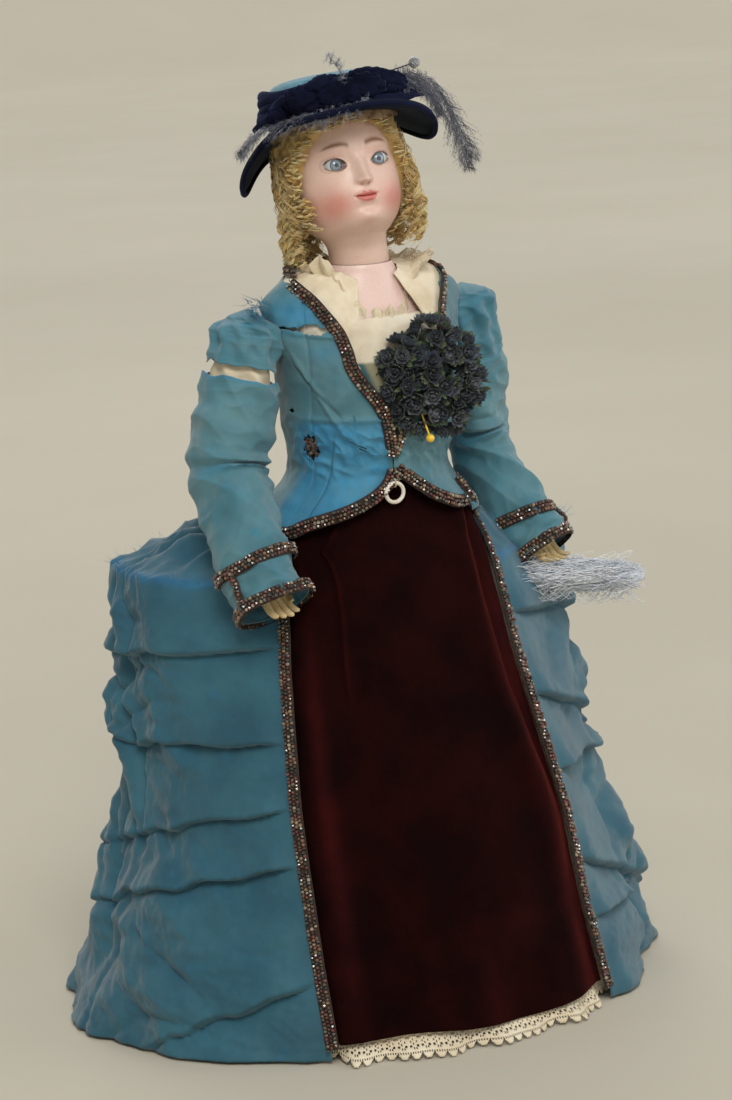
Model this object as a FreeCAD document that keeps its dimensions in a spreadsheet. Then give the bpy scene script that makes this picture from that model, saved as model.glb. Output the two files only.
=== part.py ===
"""Bisque-headed fashion doll in a bustle dress, as a parametric FreeCAD document.

The doll faces -Y, +Z is up, +X is its own left. The origin is on the floor under the neck.
Sizes are millimetres. Each garment, limb and fitting is an object of its own, written to parts/LABEL.step.
"""
import FreeCAD, Part
import os
import Sketcher

App = FreeCAD
V = App.Vector
doc = FreeCAD.newDocument("fashion_doll")
sheet = doc.addObject("Spreadsheet::Sheet", "dims")
parts = []          # the objects that become files
cell_count = 0

# ---------------------------------------------------------------- driving dimensions (sheet cells)
DIMENSIONS = {
    "cloth_wall": 1.6, "thin_cloth": 1.0, "gap": 0.3, "bead_rise": 2.2,
    "neck_radius": 13.6, "neck_play": 0.3, "lining_wall": 0.7, "bisque_wall": 3.0,
    "bolt_radius": 1.2, "bolt_hole": 2.6, "spring_wire": 0.5, "spring_radius": 3.6, "spring_length": 9,
    "eye_radius": 5.2, "eye_opening": 3.7,
    "hair_depth": 4.5, "ringlet_radius": 5, "felt_wall": 1.5,
    "sleeve_right": 16, "sleeve_left": 14, "sleeve_play": 0.4,
    "arm_radius": 9, "wrist_radius": 6.5, "palm_radius": 5.4, "finger_radius": 3.4,
    "hip_ball": 15, "knee_ball": 10.2, "ankle_radius": 6.4, "limb_play": 0.4,
    "boot_width": 8, "boot_shaft": 8.6,
    "stand_radius": 46, "stand_thickness": 4, "rod_radius": 1.6,
    "ring_radius": 4.4, "ring_wire": 0.9, "loop_radius": 1.8, "loop_wire": 0.35,
    "hatpin_head": 2.9, "pin_head": 1.9, "pin_shaft": 0.4, "plume_radius": 5.5, "fan_radius": 11,
}


def cell(alias, value):
    """Puts one plain number in the sheet under an alias."""
    global cell_count
    cell_count += 1
    sheet.set(f"A{cell_count}", alias)
    sheet.set(f"B{cell_count}", str(value))
    sheet.setAlias(f"B{cell_count}", alias)


# Loft sections: height, half width, half depth, shift of the centre towards the back.
SECTIONS = {
    "torso": [(176, 27, 17, 2), (192, 36, 27, 2), (222, 36, 28, 2), (240, 32, 26, 1), (256, 30.5, 25.5, 1),
              (275, 31.5, 26.5, -1), (300, 32, 26.5, -2), (318, 32, 23.5, 0), (329, 26, 17, 2)],
    "plate": [(303, 36.2, 30.4, -2), (318, 37, 28.5, 0), (331, 34.5, 21.6, 2), (339, 27, 17.5, 1.5),
              (346, 15.8, 15.8, 0)],
    "bodice": [(254.3, 35.5, 31.5, 1.2), (262, 35.5, 32, 0.5), (278, 38, 34, -1), (298, 40, 35.5, -2),
               (318, 40.8, 33, 0), (332, 39.2, 26, 2), (341, 34.5, 22, 2)],
    "collar": [(336.5, 32.2, 20.4, 2), (342, 27.6, 19, 1.5), (347, 23.5, 18.8, 0.5)],
    "peplum": [(230, 51, 44, 6), (240, 44, 38, 4.2), (248, 38, 33.5, 2), (254, 35.5, 31.5, 1.2)],
    "band": [(246, 34.4, 30.2, 1.5), (251, 33.6, 29.6, 1.3)],
    "skirt": [(10, 128, 114, 23), (40, 115, 110, 20), (100, 98, 96, 14), (160, 84, 78, 12),
              (205, 66, 59, 11), (228, 48, 41.5, 4.8), (245, 33.6, 29, 1.5)],
    "petticoat": [(6, 124.4, 110.4, 23), (40, 111.2, 106.2, 20), (100, 94.2, 92.2, 14),
                  (160, 80.2, 74.2, 12),
                  (205, 62.2, 55.2, 11), (228, 44, 37.6, 4.8)],
    "lace": [(0.6, 128, 114, 23), (9.4, 126, 112, 23)],
    "drape": [(1, 146, 128, 35), (40, 132, 118, 32), (90, 112, 104, 31), (150, 110, 86, 35),
              (190, 111, 72, 33), (212, 106, 62, 34), (226, 88, 50, 31)],
    "head": [(357, 15, 15.5, -1.5), (366, 20.5, 23, -5), (378, 23.3, 26.5, -3), (392, 23.5, 27.5, 0),
             (405, 23.3, 26.5, 2), (418, 18.5, 21, 3), (424, 12, 14, 3)],
    "crown": [(411, 31, 35, 3), (424, 28.5, 32, 3), (434, 25, 28, 3)],
    "brim": [(396, 48, 48.5, 2), (405, 40, 42, 2.5), (413, 30, 34, 3)],
}
# Arm points: shoulder ball, elbow, wrist, fingertips.
ARMS = {
    "right": [V(-57, 3, 318), V(-71.5, 0, 258), V(-71.5, -30, 213), V(-66, -44, 196)],
    "left": [V(55.5, 4, 318), V(62, 11, 258), V(76, -14, 213), V(82, -27, 198)],
}
ELBOW_AXIS = {"right": V(-1, 0, 0), "left": V(-0.864, -0.504, 0)}
SHOULDER_AXIS = V(-1, 0, 0)
SHOULDER_TRAVEL = 60     # degrees forward that the clothes leave room for
ELBOW_TRAVEL = 40        # degrees of extra bend that the upper sleeve leaves room for
KNEE_TRAVEL = 40
HIP_TRAVEL = (-8, 12)
SWEEP_STEP = 10          # degrees between the copies that clear a joint's travel
NECK = V(0, 0, 352)


# ---------------------------------------------------------------- helpers
def bind(obj, **sizes):
    """Binds properties to expressions over the sheet: a cell's name alone or a formula with dims. in it."""
    for prop, text in sizes.items():
        text = str(text)
        if text in DIMENSIONS:
            text = f"dims.{text}"
        obj.setExpression(prop, text)
    return obj


def place(obj, base, along=None):
    """Moves an object to base, with its own Z turned along a direction."""
    rotation = App.Rotation(V(0, 0, 1), along) if along is not None else App.Rotation()
    obj.Placement = App.Placement(base, rotation)
    return obj


def primitive(kind, name, **sizes):
    return bind(doc.addObject(kind, name), **sizes)


def ball(name, centre, radius):
    return place(primitive("Part::Sphere", name, Radius=radius), centre)


def rod(name, start, end, radius, end_radius=None):
    """A cylinder, or a cone if end_radius is given, from start to end."""
    length = (end - start).Length
    if end_radius is None:
        made = primitive("Part::Cylinder", name, Radius=radius, Height=length)
    else:
        made = primitive("Part::Cone", name, Radius1=radius, Radius2=end_radius, Height=length)
    return place(made, start, end - start)


def ellipsoid(name, centre, wide, deep, high):
    """Half sizes along X, Y and Z."""
    return place(primitive("Part::Ellipsoid", name, Radius1=high, Radius2=wide, Radius3=deep), centre)


def box(name, low, high):
    made = doc.addObject("Part::Box", name)
    made.Length, made.Width, made.Height = high.x - low.x, high.y - low.y, high.z - low.z
    return place(made, low)


def tapered_slab(name, low_z, high_z, low_sides, high_sides, near_y=-160, far_y=0):
    """A wall of space from near_y to far_y whose left and right sides lean in with height."""
    made = doc.addObject("Part::Wedge", name)
    made.Xmin, made.Xmax = low_sides
    made.X2min, made.X2max = high_sides
    made.Ymin, made.Ymax = 0, high_z - low_z
    made.Zmin, made.Zmax, made.Z2min, made.Z2max = -far_y, -near_y, -far_y, -near_y
    made.Placement = App.Placement(V(0, 0, low_z), App.Rotation(V(1, 0, 0), 90))
    return made


def cut(name, base, *tools):
    """Takes each tool away from the base in turn."""
    for i, tool in enumerate(tools):
        made = doc.addObject("Part::Cut", name if i == len(tools) - 1 else f"{name}_step_{i}")
        made.Base, made.Tool = base, tool
        base = made
    return made


def fuse(name, *shapes):
    made = doc.addObject("Part::MultiFuse", name)
    made.Shapes = list(shapes)
    return made


def common(name, *shapes):
    made = doc.addObject("Part::MultiCommon", name)
    made.Shapes = list(shapes)
    return made


def keep(obj, label):
    """Gives a finished sub-part its label and lists it for export."""
    obj.Label = label
    parts.append(obj)
    return obj


def loft(name, sections, grow="0", past=0.0, rows=None, seam_right=False):
    """A solid through the named elliptical sections. grow is added to each half size, past lengthens both ends.
    seam_right puts the surface's seam on the doll's right instead of its left."""
    chosen = rows or range(1, len(SECTIONS[sections]) + 1)
    deep_first = SECTIONS[sections][0][2] > SECTIONS[sections][0][1]
    rings = []
    for i in chosen:
        ring = doc.addObject("Part::Ellipse", f"{name}_ring_{i}")
        ring.MajorRadius, ring.MinorRadius = 500, 1
        wide, deep = (f"dims.{sections}_{word}_{i} + {full_text(grow)}" for word in ("width", "depth"))
        if deep_first:      # the longer half size has to be the major one
            wide, deep = deep, wide
            ring.Placement = App.Placement(V(0, 0, 0), App.Rotation(V(0, 0, 1), 90))
        if seam_right:
            ring.Placement = App.Placement(V(0, 0, 0), App.Rotation(V(0, 0, 1), 180))
        ring.setExpression("MajorRadius", wide)
        ring.setExpression("MinorRadius", deep)
        shift = -past if i == chosen[0] else past if i == chosen[-1] else 0
        ring.setExpression(".Placement.Base.y", f"dims.{sections}_shift_{i}")
        ring.setExpression(".Placement.Base.z", f"dims.{sections}_height_{i} + {shift}")
        rings.append(ring)
    made = doc.addObject("Part::Loft", name)
    made.Sections, made.Solid, made.Ruled, made.Closed = rings, True, False, False
    return made


def shell(name, sections, outer="0", inner="-1", seam_right=False):
    """The wall between two lofts of the same sections, open at both ends."""
    return cut(name, loft(name + "_outside", sections, outer, seam_right=seam_right),
               loft(name + "_inside", sections, inner, past=1.0, seam_right=seam_right))


def turned(label, profile, centre=V(0, 0, 0)):
    """A PartDesign body turned about its own Z. profile lists (radius, height) corners as sheet expressions."""
    body = doc.addObject("PartDesign::Body", label)
    sketch = body.newObject("Sketcher::SketchObject", label + "_profile")
    plane = [f for f in body.Origin.OriginFeatures if f.Role == "XZ_Plane"][0]
    sketch.AttachmentSupport, sketch.MapMode = (plane, [""]), "FlatFace"
    doc.recompute()
    corners = [(float(sheet_value(r)), float(sheet_value(h))) for r, h in profile]
    count = len(corners)
    for i in range(count):
        (r0, h0), (r1, h1) = corners[i], corners[(i + 1) % count]
        sketch.addGeometry(Part.LineSegment(V(r0, h0, 0), V(r1, h1, 0)))
    for i in range(count):
        sketch.addConstraint(Sketcher.Constraint("Coincident", i, 2, (i + 1) % count, 1))
    for i, (r, h) in enumerate(profile):
        for kind, text, axis in (("DistanceX", r, -2), ("DistanceY", h, -1)):
            size = sheet_value(text)
            if abs(size) < 1e-9:
                sketch.addConstraint(Sketcher.Constraint("PointOnObject", i, 1, axis))
            else:
                at = sketch.addConstraint(Sketcher.Constraint(kind, -1, 1, i, 1, size))
                sketch.setExpression(f"Constraints[{at}]", full_text(text))
    turn = body.newObject("PartDesign::Revolution", label + "_turn")
    turn.Profile, turn.ReferenceAxis, turn.Angle = sketch, (sketch, ["V_Axis"]), 360
    body.Tip = turn
    body.Placement = App.Placement(centre, App.Rotation())
    return body


def full_text(text):
    return f"dims.{text}" if str(text) in DIMENSIONS else str(text)


def sheet_value(text):
    """The number that an expression over the sheet gives now."""
    words = full_text(text)
    for alias in sorted(DIMENSIONS, key=len, reverse=True):
        words = words.replace(f"dims.{alias}", str(DIMENSIONS[alias]))
    return total_of(words)


def total_of(words):
    """Works out a sum of products of plain numbers, such as '12 - 3 * 2'."""
    total, sign = 0.0, 1
    for token in words.replace("- ", "+ -1 * ").split(" + "):
        value = 1.0
        for factor in token.split(" * "):
            value *= float(factor)
        total += sign * value
    return total


def turned_about(point, start, axis, degrees):
    """A point after a turn about an axis through start."""
    return start + App.Rotation(axis, degrees).multVec(point - start)


def travel(name, pivot, tip, axis, radius, first, last):
    """The space that a limb of this radius takes as it turns about the pivot."""
    pieces = [ball(name + "_pivot", pivot, radius)]
    for degrees in range(first, last + 1, SWEEP_STEP):
        end = turned_about(tip, pivot, axis, degrees)
        pieces.append(rod(f"{name}_at_{degrees - first}", pivot, end, f"{full_text(radius)} - 0.1"))
    return fuse(name, *pieces)


for alias, value in DIMENSIONS.items():
    cell(alias, value)
for part_name, rows in SECTIONS.items():
    for row, values in enumerate(rows, 1):
        for word, value in zip(("height", "width", "depth", "shift"), values):
            cell(f"{part_name}_{word}_{row}", value)
doc.recompute()


# ---------------------------------------------------------------- arms (the clothes are cut to clear them)
def forearm_shape(name, side):
    """The leather forearm with its hand; each ball stands a little proud of the tubes that meet in it."""
    shoulder, elbow, wrist, tips = ARMS[side]
    knuckles = wrist + (tips - wrist) * 0.55
    return fuse(name, rod(name + "_core", elbow, wrist, "arm_radius", "wrist_radius"),
                ball(name + "_wrist", wrist, "dims.wrist_radius + 0.3"),
                rod(name + "_palm", wrist, knuckles, "wrist_radius", "dims.palm_radius - 0.3"),
                ball(name + "_knuckles", knuckles, "palm_radius"),
                rod(name + "_fingers", knuckles, tips, "dims.palm_radius - 0.5",
                    "dims.finger_radius - 0.3"),
                ball(name + "_tips", tips, "finger_radius"))


def make_arm(side):
    """The upper arm, forearm, two sleeve pieces and cuff of one side."""
    shoulder, elbow, wrist, tips = ARMS[side]
    size = f"sleeve_{side}"
    axis = ELBOW_AXIS[side]
    along = (wrist - elbow).normalize()
    cuff_end = wrist - along * 1.0
    elbow_space = ball(f"elbow_space_{side}", elbow, f"dims.{size} - 1.5 + dims.sleeve_play")
    bend_space = travel(f"bend_space_{side}", elbow, elbow + along * 34, axis,
                        f"dims.{size} - 1.5 + dims.sleeve_play", 0, ELBOW_TRAVEL)

    core = rod(f"upper_core_{side}", shoulder, elbow, "arm_radius")
    upper_arm = keep(cut(f"upper_arm_{side}_solid", core, bend_space), f"upper_arm_{side}")
    sleeve = fuse(f"upper_sleeve_{side}_solid", ball(f"sleeve_cap_{side}", shoulder, size),
                  rod(f"sleeve_tube_{side}", shoulder, elbow, f"dims.{size} - 0.3", f"dims.{size} - 1.6"))
    bore = rod(f"upper_bore_{side}", shoulder, elbow, "arm_radius")
    keep(cut(f"upper_sleeve_{side}_cut", sleeve, bore, bend_space), f"upper_sleeve_{side}")

    keep(forearm_shape(f"forearm_{side}_solid", side), f"forearm_{side}")
    lower = fuse(f"lower_sleeve_{side}_solid", ball(f"elbow_ball_{side}", elbow, f"dims.{size} - 1.5"),
                 rod(f"lower_tube_{side}", elbow, cuff_end, f"dims.{size} - 1.5", f"dims.{size} - 3.6"))
    keep(cut(f"lower_sleeve_{side}_cut", lower, forearm_shape(f"forearm_bore_{side}", side)),
         f"lower_sleeve_{side}")

    low, high = cuff_end - along * 1.2, cuff_end - along * 17
    band = rod(f"cuff_outside_{side}", high, low, f"dims.{size} - 3.0 + dims.bead_rise",
               f"dims.{size} - 3.6 + dims.bead_rise")
    groove_end, groove = high + along * 5.2, low - along * 5.2
    between = cut(f"cuff_gap_{side}", rod(f"cuff_gap_out_{side}", groove_end, groove, f"dims.{size} + 8"),
                  box(f"cuff_seam_{side}", wrist + V(-4 if side == "left" else 0, -40, -20),
                      wrist + V(9, 0, 60)))
    sleeve_again = rod(f"cuff_inside_{side}", elbow, cuff_end + along * 4, f"dims.{size} - 1.4",
                       f"dims.{size} - 3.75")
    keep(cut(f"cuff_trim_{side}_solid", band, between, sleeve_again), f"cuff_trim_{side}")
    return upper_arm


for side in ("right", "left"):
    make_arm(side)


def arm_space(side, extra):
    """The spaces round one resting arm, used to keep the overskirt clear of it."""
    shoulder, elbow, wrist, tips = ARMS[side]
    radius = f"dims.sleeve_{side} + {extra}"
    return [rod(f"arm_space_low_{side}", elbow + V(0, 0, 12), wrist, radius),
            ball(f"arm_space_wrist_{side}", wrist, f"{radius} + 0.2"),
            rod(f"arm_space_hand_{side}", wrist, wrist + (tips - wrist) * 1.4, f"{radius} - 2")]


FAN_MIDDLE, FAN_ALONG, FAN_HALF = V(91, -32, 193), V(0.89, -0.45, -0.06), 31


def fan_shape(name, extra):
    """The feather bundle's outline, a long ellipsoid lying across the hand."""
    made = bind(doc.addObject("Part::Ellipsoid", name), Radius1=FAN_HALF + extra,
                Radius2=f"dims.fan_radius + {extra}",
                Radius3=f"dims.fan_radius + {extra}")
    return place(made, FAN_MIDDLE, FAN_ALONG)


# ---------------------------------------------------------------- stand
base = turned("stand_base_disc", [("0", "0"), ("stand_radius", "0"),
                                  ("stand_radius", "dims.stand_thickness - 1"),
                                  ("dims.stand_radius - 3", "stand_thickness"), ("0", "stand_thickness")])
ROD_FOOT, ROD_TOP = V(0, 34.3, 2), V(0, 34.3, 231.5)
keep(cut("stand_base_solid", base, rod("rod_socket", ROD_FOOT, ROD_TOP, "rod_radius")), "stand_base")
keep(rod("stand_rod_solid", ROD_FOOT, ROD_TOP, "rod_radius"), "stand_rod")
clip_ring = cut("clip_ring", loft("clip_outside", "torso", "1.6"),
                loft("clip_inside", "torso", "0.3", past=1.0))
CLIP_LOW, CLIP_HIGH = 226, 231
clip_band = common("clip_band", clip_ring, box("clip_height", V(-50, -14, CLIP_LOW), V(50, 50, CLIP_HIGH)))
clip_arm = rod("clip_arm", V(0, 28, 228.5), V(0, 34.3, 228.5), 2.2)
clip_eye = rod("clip_eye", V(0, 34.3, CLIP_LOW), V(0, 34.3, CLIP_HIGH), 3)
keep(cut("stand_clip_solid", fuse("clip_body", clip_band, clip_arm, clip_eye),
         rod("clip_bore", V(0, 34.3, 220), V(0, 34.3, 240), "rod_radius"),
         loft("clip_waist", "torso", "0.3")), "stand_clip")

# ---------------------------------------------------------------- neck joint: ball of bisque in a lined cup
plate_hollow = loft("plate_hollow", "plate", "-dims.bisque_wall", past=1.0, rows=[1, 2, 3])
plate = cut("shoulder_plate_solid", loft("plate_outside", "plate"), plate_hollow,
            ball("neck_cup", V(0, 0, 350), "dims.neck_radius + dims.neck_play + dims.lining_wall"),
            rod("neck_bolt_way", V(0, 0, 325), V(0, 0, 345), "bolt_hole"),
            ball("shoulder_space_right", ARMS["right"][0], "dims.sleeve_right + dims.sleeve_play"),
            ball("shoulder_space_left", ARMS["left"][0], "dims.sleeve_left + dims.sleeve_play"))
keep(plate, "shoulder_plate")
lining = cut("lining_shell", ball("lining_outside", V(0, 0, 350),
                                  "dims.neck_radius + dims.neck_play + dims.lining_wall"),
             ball("lining_inside", V(0, 0, 350), "dims.neck_radius + dims.neck_play"),
             box("lining_top", V(-20, -20, 346), V(20, 20, 370)),
             rod("lining_way", V(0, 0, 325), V(0, 0, 345), "bolt_hole"))
keep(lining, "neck_socket_lining")

torso_cuts = [rod("torso_bolt_space", V(0, 0, 319), V(0, 0, 332), 6.5)]
for side, x in (("right", -17), ("left", 17)):
    torso_cuts.append(travel(f"hip_space_{side}", V(x, 2, 188), V(x, 2, 160), V(-1, 0, 0),
                             "dims.hip_ball + dims.limb_play", HIP_TRAVEL[0], HIP_TRAVEL[1] + 4))
keep(cut("torso_solid", loft("torso_form", "torso"), *torso_cuts), "torso")

# ---------------------------------------------------------------- bodice, blouse and peplum
V_NECK = (288, 352, (-2, 5), (-26, 27))
v_space = tapered_slab("v_space", *V_NECK)
v_wide = tapered_slab("v_wide", 279, 352, (-3, 6), (-33.5, 34.5))
shoulder_spaces = [ball("bodice_space_right", ARMS["right"][0], "dims.sleeve_right + dims.sleeve_play"),
                   ball("bodice_space_left", ARMS["left"][0], "dims.sleeve_left + dims.sleeve_play")]
keep(cut("bodice_solid", shell("bodice_cloth", "bodice", "0", "-dims.cloth_wall"), v_space,
         *shoulder_spaces), "bodice")
keep(cut("chemisette_solid", shell("chemisette_cloth", "bodice", "-dims.cloth_wall - 0.3",
                                   "-dims.cloth_wall - 0.3 - dims.thin_cloth"), *shoulder_spaces),
                                   "chemisette")
keep(cut("collar_solid", shell("collar_cloth", "collar", "0", "-0.8"), *shoulder_spaces), "collar_lace")
neck_band = common("neck_band", shell("neck_band_cloth", "bodice", "dims.bead_rise", "0.1"), v_wide)
keep(cut("neck_trim_solid", neck_band, v_space, *shoulder_spaces), "bodice_neck_trim")

notch = tapered_slab("peplum_notch", 226, 248, (-50, 20), (-12, -8), far_y=-6)
notch_wide = tapered_slab("peplum_notch_wide", 226, 253.3, (-58, 28), (-14, -6), far_y=-6)
keep(cut("peplum_solid", shell("peplum_cloth", "peplum", "0", "-1.2"), notch), "peplum")
hem_zone = fuse("peplum_hem_zone", notch_wide, box("peplum_hem_box", V(-80, -80, 230.2), V(80, 80, 235.6)))
keep(cut("peplum_trim_solid", common("peplum_trim_band", shell("peplum_trim_cloth", "peplum",
        "dims.bead_rise", "0.1"),
                                     hem_zone), notch), "peplum_trim")
keep(shell("waistband_cloth", "band", "0", "-1.2"), "skirt_waistband")

# ---------------------------------------------------------------- flowers and pins on the chest
def chest_flowers(name):
    """Seven round flower heads in a cluster in front of the V neck: (x, z, radius)."""
    heads = [(12, 298, 12.5), (-4, 311, 9), (16, 318, 9.3), (31, 309, 9), (35, 292, 8.4), (20, 280, 9.1),
             (2, 283, 8.2)]
    return fuse(name, *[ball(f"{name}_{i}", V(x, -40 + abs(x - 12) * 0.3, z), radius)
                        for i, (x, z, radius) in enumerate(heads)])


PIN = V(4.4, -52, 271.6)
bouquet = cut("bouquet_solid", chest_flowers("flower_heads"),
              loft("bouquet_back", "bodice", "dims.bead_rise + 0.1"),
              rod("pin_way", PIN, PIN + V(1, 12, 14), "pin_shaft"), ball("pin_head_way", PIN, "pin_head"))
keep(bouquet, "corsage_bouquet")
keep(fuse("corsage_pin_solid", ball("pin_ball", PIN, "pin_head"),
          rod("pin_stem", PIN, PIN + V(1, 12, 14), "pin_shaft")),
     "corsage_pin")

# ---------------------------------------------------------------- bone ring on its thread loop
PIVOT = V(-6.4, -35.8, 250.4)
loop = primitive("Part::Torus", "loop_thread", Radius1="loop_radius", Radius2="loop_wire")
place(loop, PIVOT, V(1, 0, 0))
shank = rod("loop_shank", PIVOT + V(0, 1.8, 0), PIVOT + V(0, 4.6, 0), 0.4)
loop_solid = cut("ring_loop_solid", fuse("ring_loop_form", loop, shank),
                 loft("ring_loop_back", "peplum", "dims.bead_rise + 0.05"))
keep(loop_solid, "ring_loop")
ring = primitive("Part::Torus", "waist_ring_solid", Radius1="ring_radius", Radius2="ring_wire")
place(ring, PIVOT - V(0, 0, 1) * DIMENSIONS["ring_radius"], V(0, 1, 0))
keep(ring, "waist_ring")

# ---------------------------------------------------------------- skirts
# The velvet panel leans towards the doll's right; its sides at the hem and the waist are (low, high) pairs.
PANEL = (8, 250, (-76, 66), (-46, 29))
TRIM_WIDTH = 5.6


def panel_space(name, spread):
    low, high = PANEL[2], PANEL[3]
    return tapered_slab(name, PANEL[0], PANEL[1], (low[0] - spread, low[1] + spread),
                        (high[0] - spread, high[1] + spread))


def panel_side(name, which, spread_in, spread_out):
    """The strip of space just outside one side of the panel."""
    low, high = PANEL[2][which], PANEL[3][which]
    ends = sorted((spread_in, spread_out)) if which else sorted((-spread_in, -spread_out))
    return tapered_slab(name, PANEL[0], PANEL[1], (low + ends[0], low + ends[1]),
                        (high + ends[0], high + ends[1]))


panel = common("panel_solid", shell("panel_cloth", "skirt", "0", "-dims.cloth_wall"),
               panel_space("panel_space", 0))
keep(panel, "skirt_front_panel")
keep(cut("underskirt_solid", shell("underskirt_cloth", "skirt", "0", "-dims.cloth_wall"),
         panel_space("underskirt_front", 0)), "underskirt")
for which, side in ((0, "right"), (1, "left")):
    strip = common(f"skirt_trim_{side}_band", shell(f"skirt_trim_{side}_cloth", "skirt", "dims.bead_rise",
                                                    "0.1"),
                   panel_side(f"skirt_trim_{side}_space", which, 0, TRIM_WIDTH))
    keep(cut(f"skirt_trim_{side}_solid", strip, loft(f"trim_top_{side}", "peplum",
                                                     "dims.bead_rise + 0.3")), f"skirt_trim_{side}")
keep(shell("petticoat_cloth", "petticoat", "0", "-dims.thin_cloth"), "petticoat")
keep(shell("lace_cloth", "lace", "0", "-dims.thin_cloth"), "petticoat_lace")



def overskirt(name, seam_right):
    """The gathered overskirt all round, open at the front and clear of the arms and the feathers."""
    core = [loft(f"{name}_core", "skirt", "dims.gap", seam_right=seam_right),
            loft(f"{name}_peplum", "peplum", "dims.bead_rise + 0.3", seam_right=seam_right)]
    sides = [(low - TRIM_WIDTH - 0.3, high + TRIM_WIDTH + 0.3) for low, high in ((-77.3, 67.6), PANEL[3])]
    return cut(name, shell(f"{name}_cloth", "drape", "0", "-dims.cloth_wall", seam_right), *core,
               tapered_slab(f"{name}_front", -2, 250, *sides))


TRAIN_LINE = 75
seam_left_drape, seam_right_drape = overskirt("overskirt", False), overskirt("overskirt_left", True)
for name, drape, low, high, spaces in (
        ("drape_right", seam_left_drape, V(-200, -200, -5), V(0, TRAIN_LINE, 240), arm_space("right", 2.5)),
        ("drape_left", seam_right_drape, V(0, -200, -5), V(200, TRAIN_LINE, 240),
         arm_space("left", 2.5) + [fan_shape("fan_space", 2)]),
        ("skirt_train", seam_left_drape, V(-200, TRAIN_LINE, -5), V(200, 300, 240), [])):
    half = common(f"{name}_half", drape, box(f"{name}_space", low, high))
    keep(cut(f"{name}_solid", half, *spaces) if spaces else half, name)
pad = ellipsoid("pad_form", V(0, 79, 198), 42, 15, 20)
keep(cut("bustle_pad_solid", pad, loft("pad_front", "skirt", "dims.gap"),
         box("pad_top", V(-60, 88, 150), V(60, 120, 240))),
     "bustle_pad")

# ---------------------------------------------------------------- feathers in the left hand
fan = fan_shape("fan_form", 0)
shoulder, elbow, wrist, tips = ARMS["left"]
fan_cuts = [loft("fan_back", "skirt", "dims.bead_rise + 0.6"), forearm_shape("fan_hand", "left"),
            rod("fan_sleeve", elbow, wrist, "dims.sleeve_left - 0.5")]
keep(cut("feather_bundle_solid", fan, *fan_cuts), "feather_bundle")

# ---------------------------------------------------------------- head
HEAD_TOP, SKULL_OPENING = 430, 412
head_form = fuse("head_form", loft("head_outside", "head"), rod("neck_column", V(0, 0, 350), V(0, -1, 366),
        "neck_radius"),
                 ball("neck_ball", V(0, 0, 350), "neck_radius"),
                 ellipsoid("nose", V(0, -28.2, 384.5), 2.6, 2.6, 4.2),
                 ellipsoid("chin", V(0, -25.5, 364.5), 5, 3.5, 4))
head_hollow = fuse("head_hollow", loft("head_inside", "head", "-dims.bisque_wall", past=2.0),
                   rod("neck_hollow", V(0, 0, 344), V(0, -1, 368), "dims.neck_radius - dims.bisque_wall"))
eye_cuts = []
EYES = {"right": V(-9.4, -20.9, 391.5), "left": V(9.4, -20.9, 391.5)}
for side, centre in EYES.items():
    eye_cuts.append(place(ball(f"eye_seat_{side}", centre, "dims.eye_radius + 0.1"), centre, V(0, -1, 0)))
    eye_cuts.append(rod(f"eye_opening_{side}", centre, centre - V(0, 14, 0), "eye_opening"))
keep(cut("head_solid", head_form, *eye_cuts, head_hollow, box("skull_opening", V(-40, -40, SKULL_OPENING),
        V(40, 40, HEAD_TOP)),
         box("neck_end", V(-20, -20, 330), V(20, 20, 339)), rod("neck_hole", V(0, 0, 330), V(0, 0, 350),
                 "bolt_hole")), "head")
for side, centre in EYES.items():
    keep(ball(f"eye_{side}_solid", centre, "eye_radius"), f"eye_{side}")
pate = common("pate_form", loft("pate_skull", "head", "-0.2"),
              box("pate_height", V(-40, -40, SKULL_OPENING + 0.05), V(40, 40, HEAD_TOP)))
keep(pate, "cork_pate")

hair = cut("hair_cap", loft("hair_outside", "head", "hair_depth"),
           loft("hair_inside", "head", "0.2", past=3.0))
ringlets = []
for i, (x, y, x2, y2, low) in enumerate([(-24, -6, -25.5, -8, 352), (-26, 6, -27, 7, 352),
                                         (-21, 19, -22, 21, 351),
                                         (-8, 27, -8, 30, 352), (8, 27, 8, 30, 352), (21, 19, 22, 21, 351),
                                         (26, 6, 27, 7, 352), (24, -6, 25.5, -8, 355)]):
    ringlets.append(rod(f"ringlet_{i}", V(x, y, 392), V(x2, y2, low), "ringlet_radius",
                        "dims.ringlet_radius - 1.6"))
wig = cut("wig_solid", fuse("hair_form", hair, *ringlets), loft("wig_face", "head", "0.2", past=3.0),
          rod("wig_neck", V(0, 0, 340), V(0, -1, 368), "dims.neck_radius + 0.3"),
          box("face_window", V(-19.5, -50, 345), V(19.5, -3, 403)))
keep(wig, "wig")

brim_turn = App.Rotation(V(1, 0, 0), -11).multiply(App.Rotation(V(0, 1, 0), -8))
brim_form = loft("brim_outside", "brim")
brim_hollow = loft("brim_inside", "brim", "-3.4", past=2.0)
brim_shell = cut("brim_shell", brim_form, brim_hollow)
BRIM_MIDDLE = V(0, 2, 410)
brim_shell.Placement = App.Placement(BRIM_MIDDLE - brim_turn.multVec(BRIM_MIDDLE), brim_turn)
crown_hollow = fuse("crown_hollow", loft("crown_inside", "crown", "-dims.felt_wall", past=1.0, rows=[1, 2]),
                    ellipsoid("crown_dome", V(0, 3, 422), 26, 29, 10.4))
keep(cut("crown_solid", loft("crown_outside", "crown"), crown_hollow), "hat_crown")
keep(cut("brim_solid", brim_shell, loft("brim_crown", "crown", "0.1"),
         loft("brim_head", "head", "dims.hair_depth + 0.2"),
         box("brim_top", V(-60, -60, 418), V(60, 60, 440))), "hat_brim")
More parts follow.
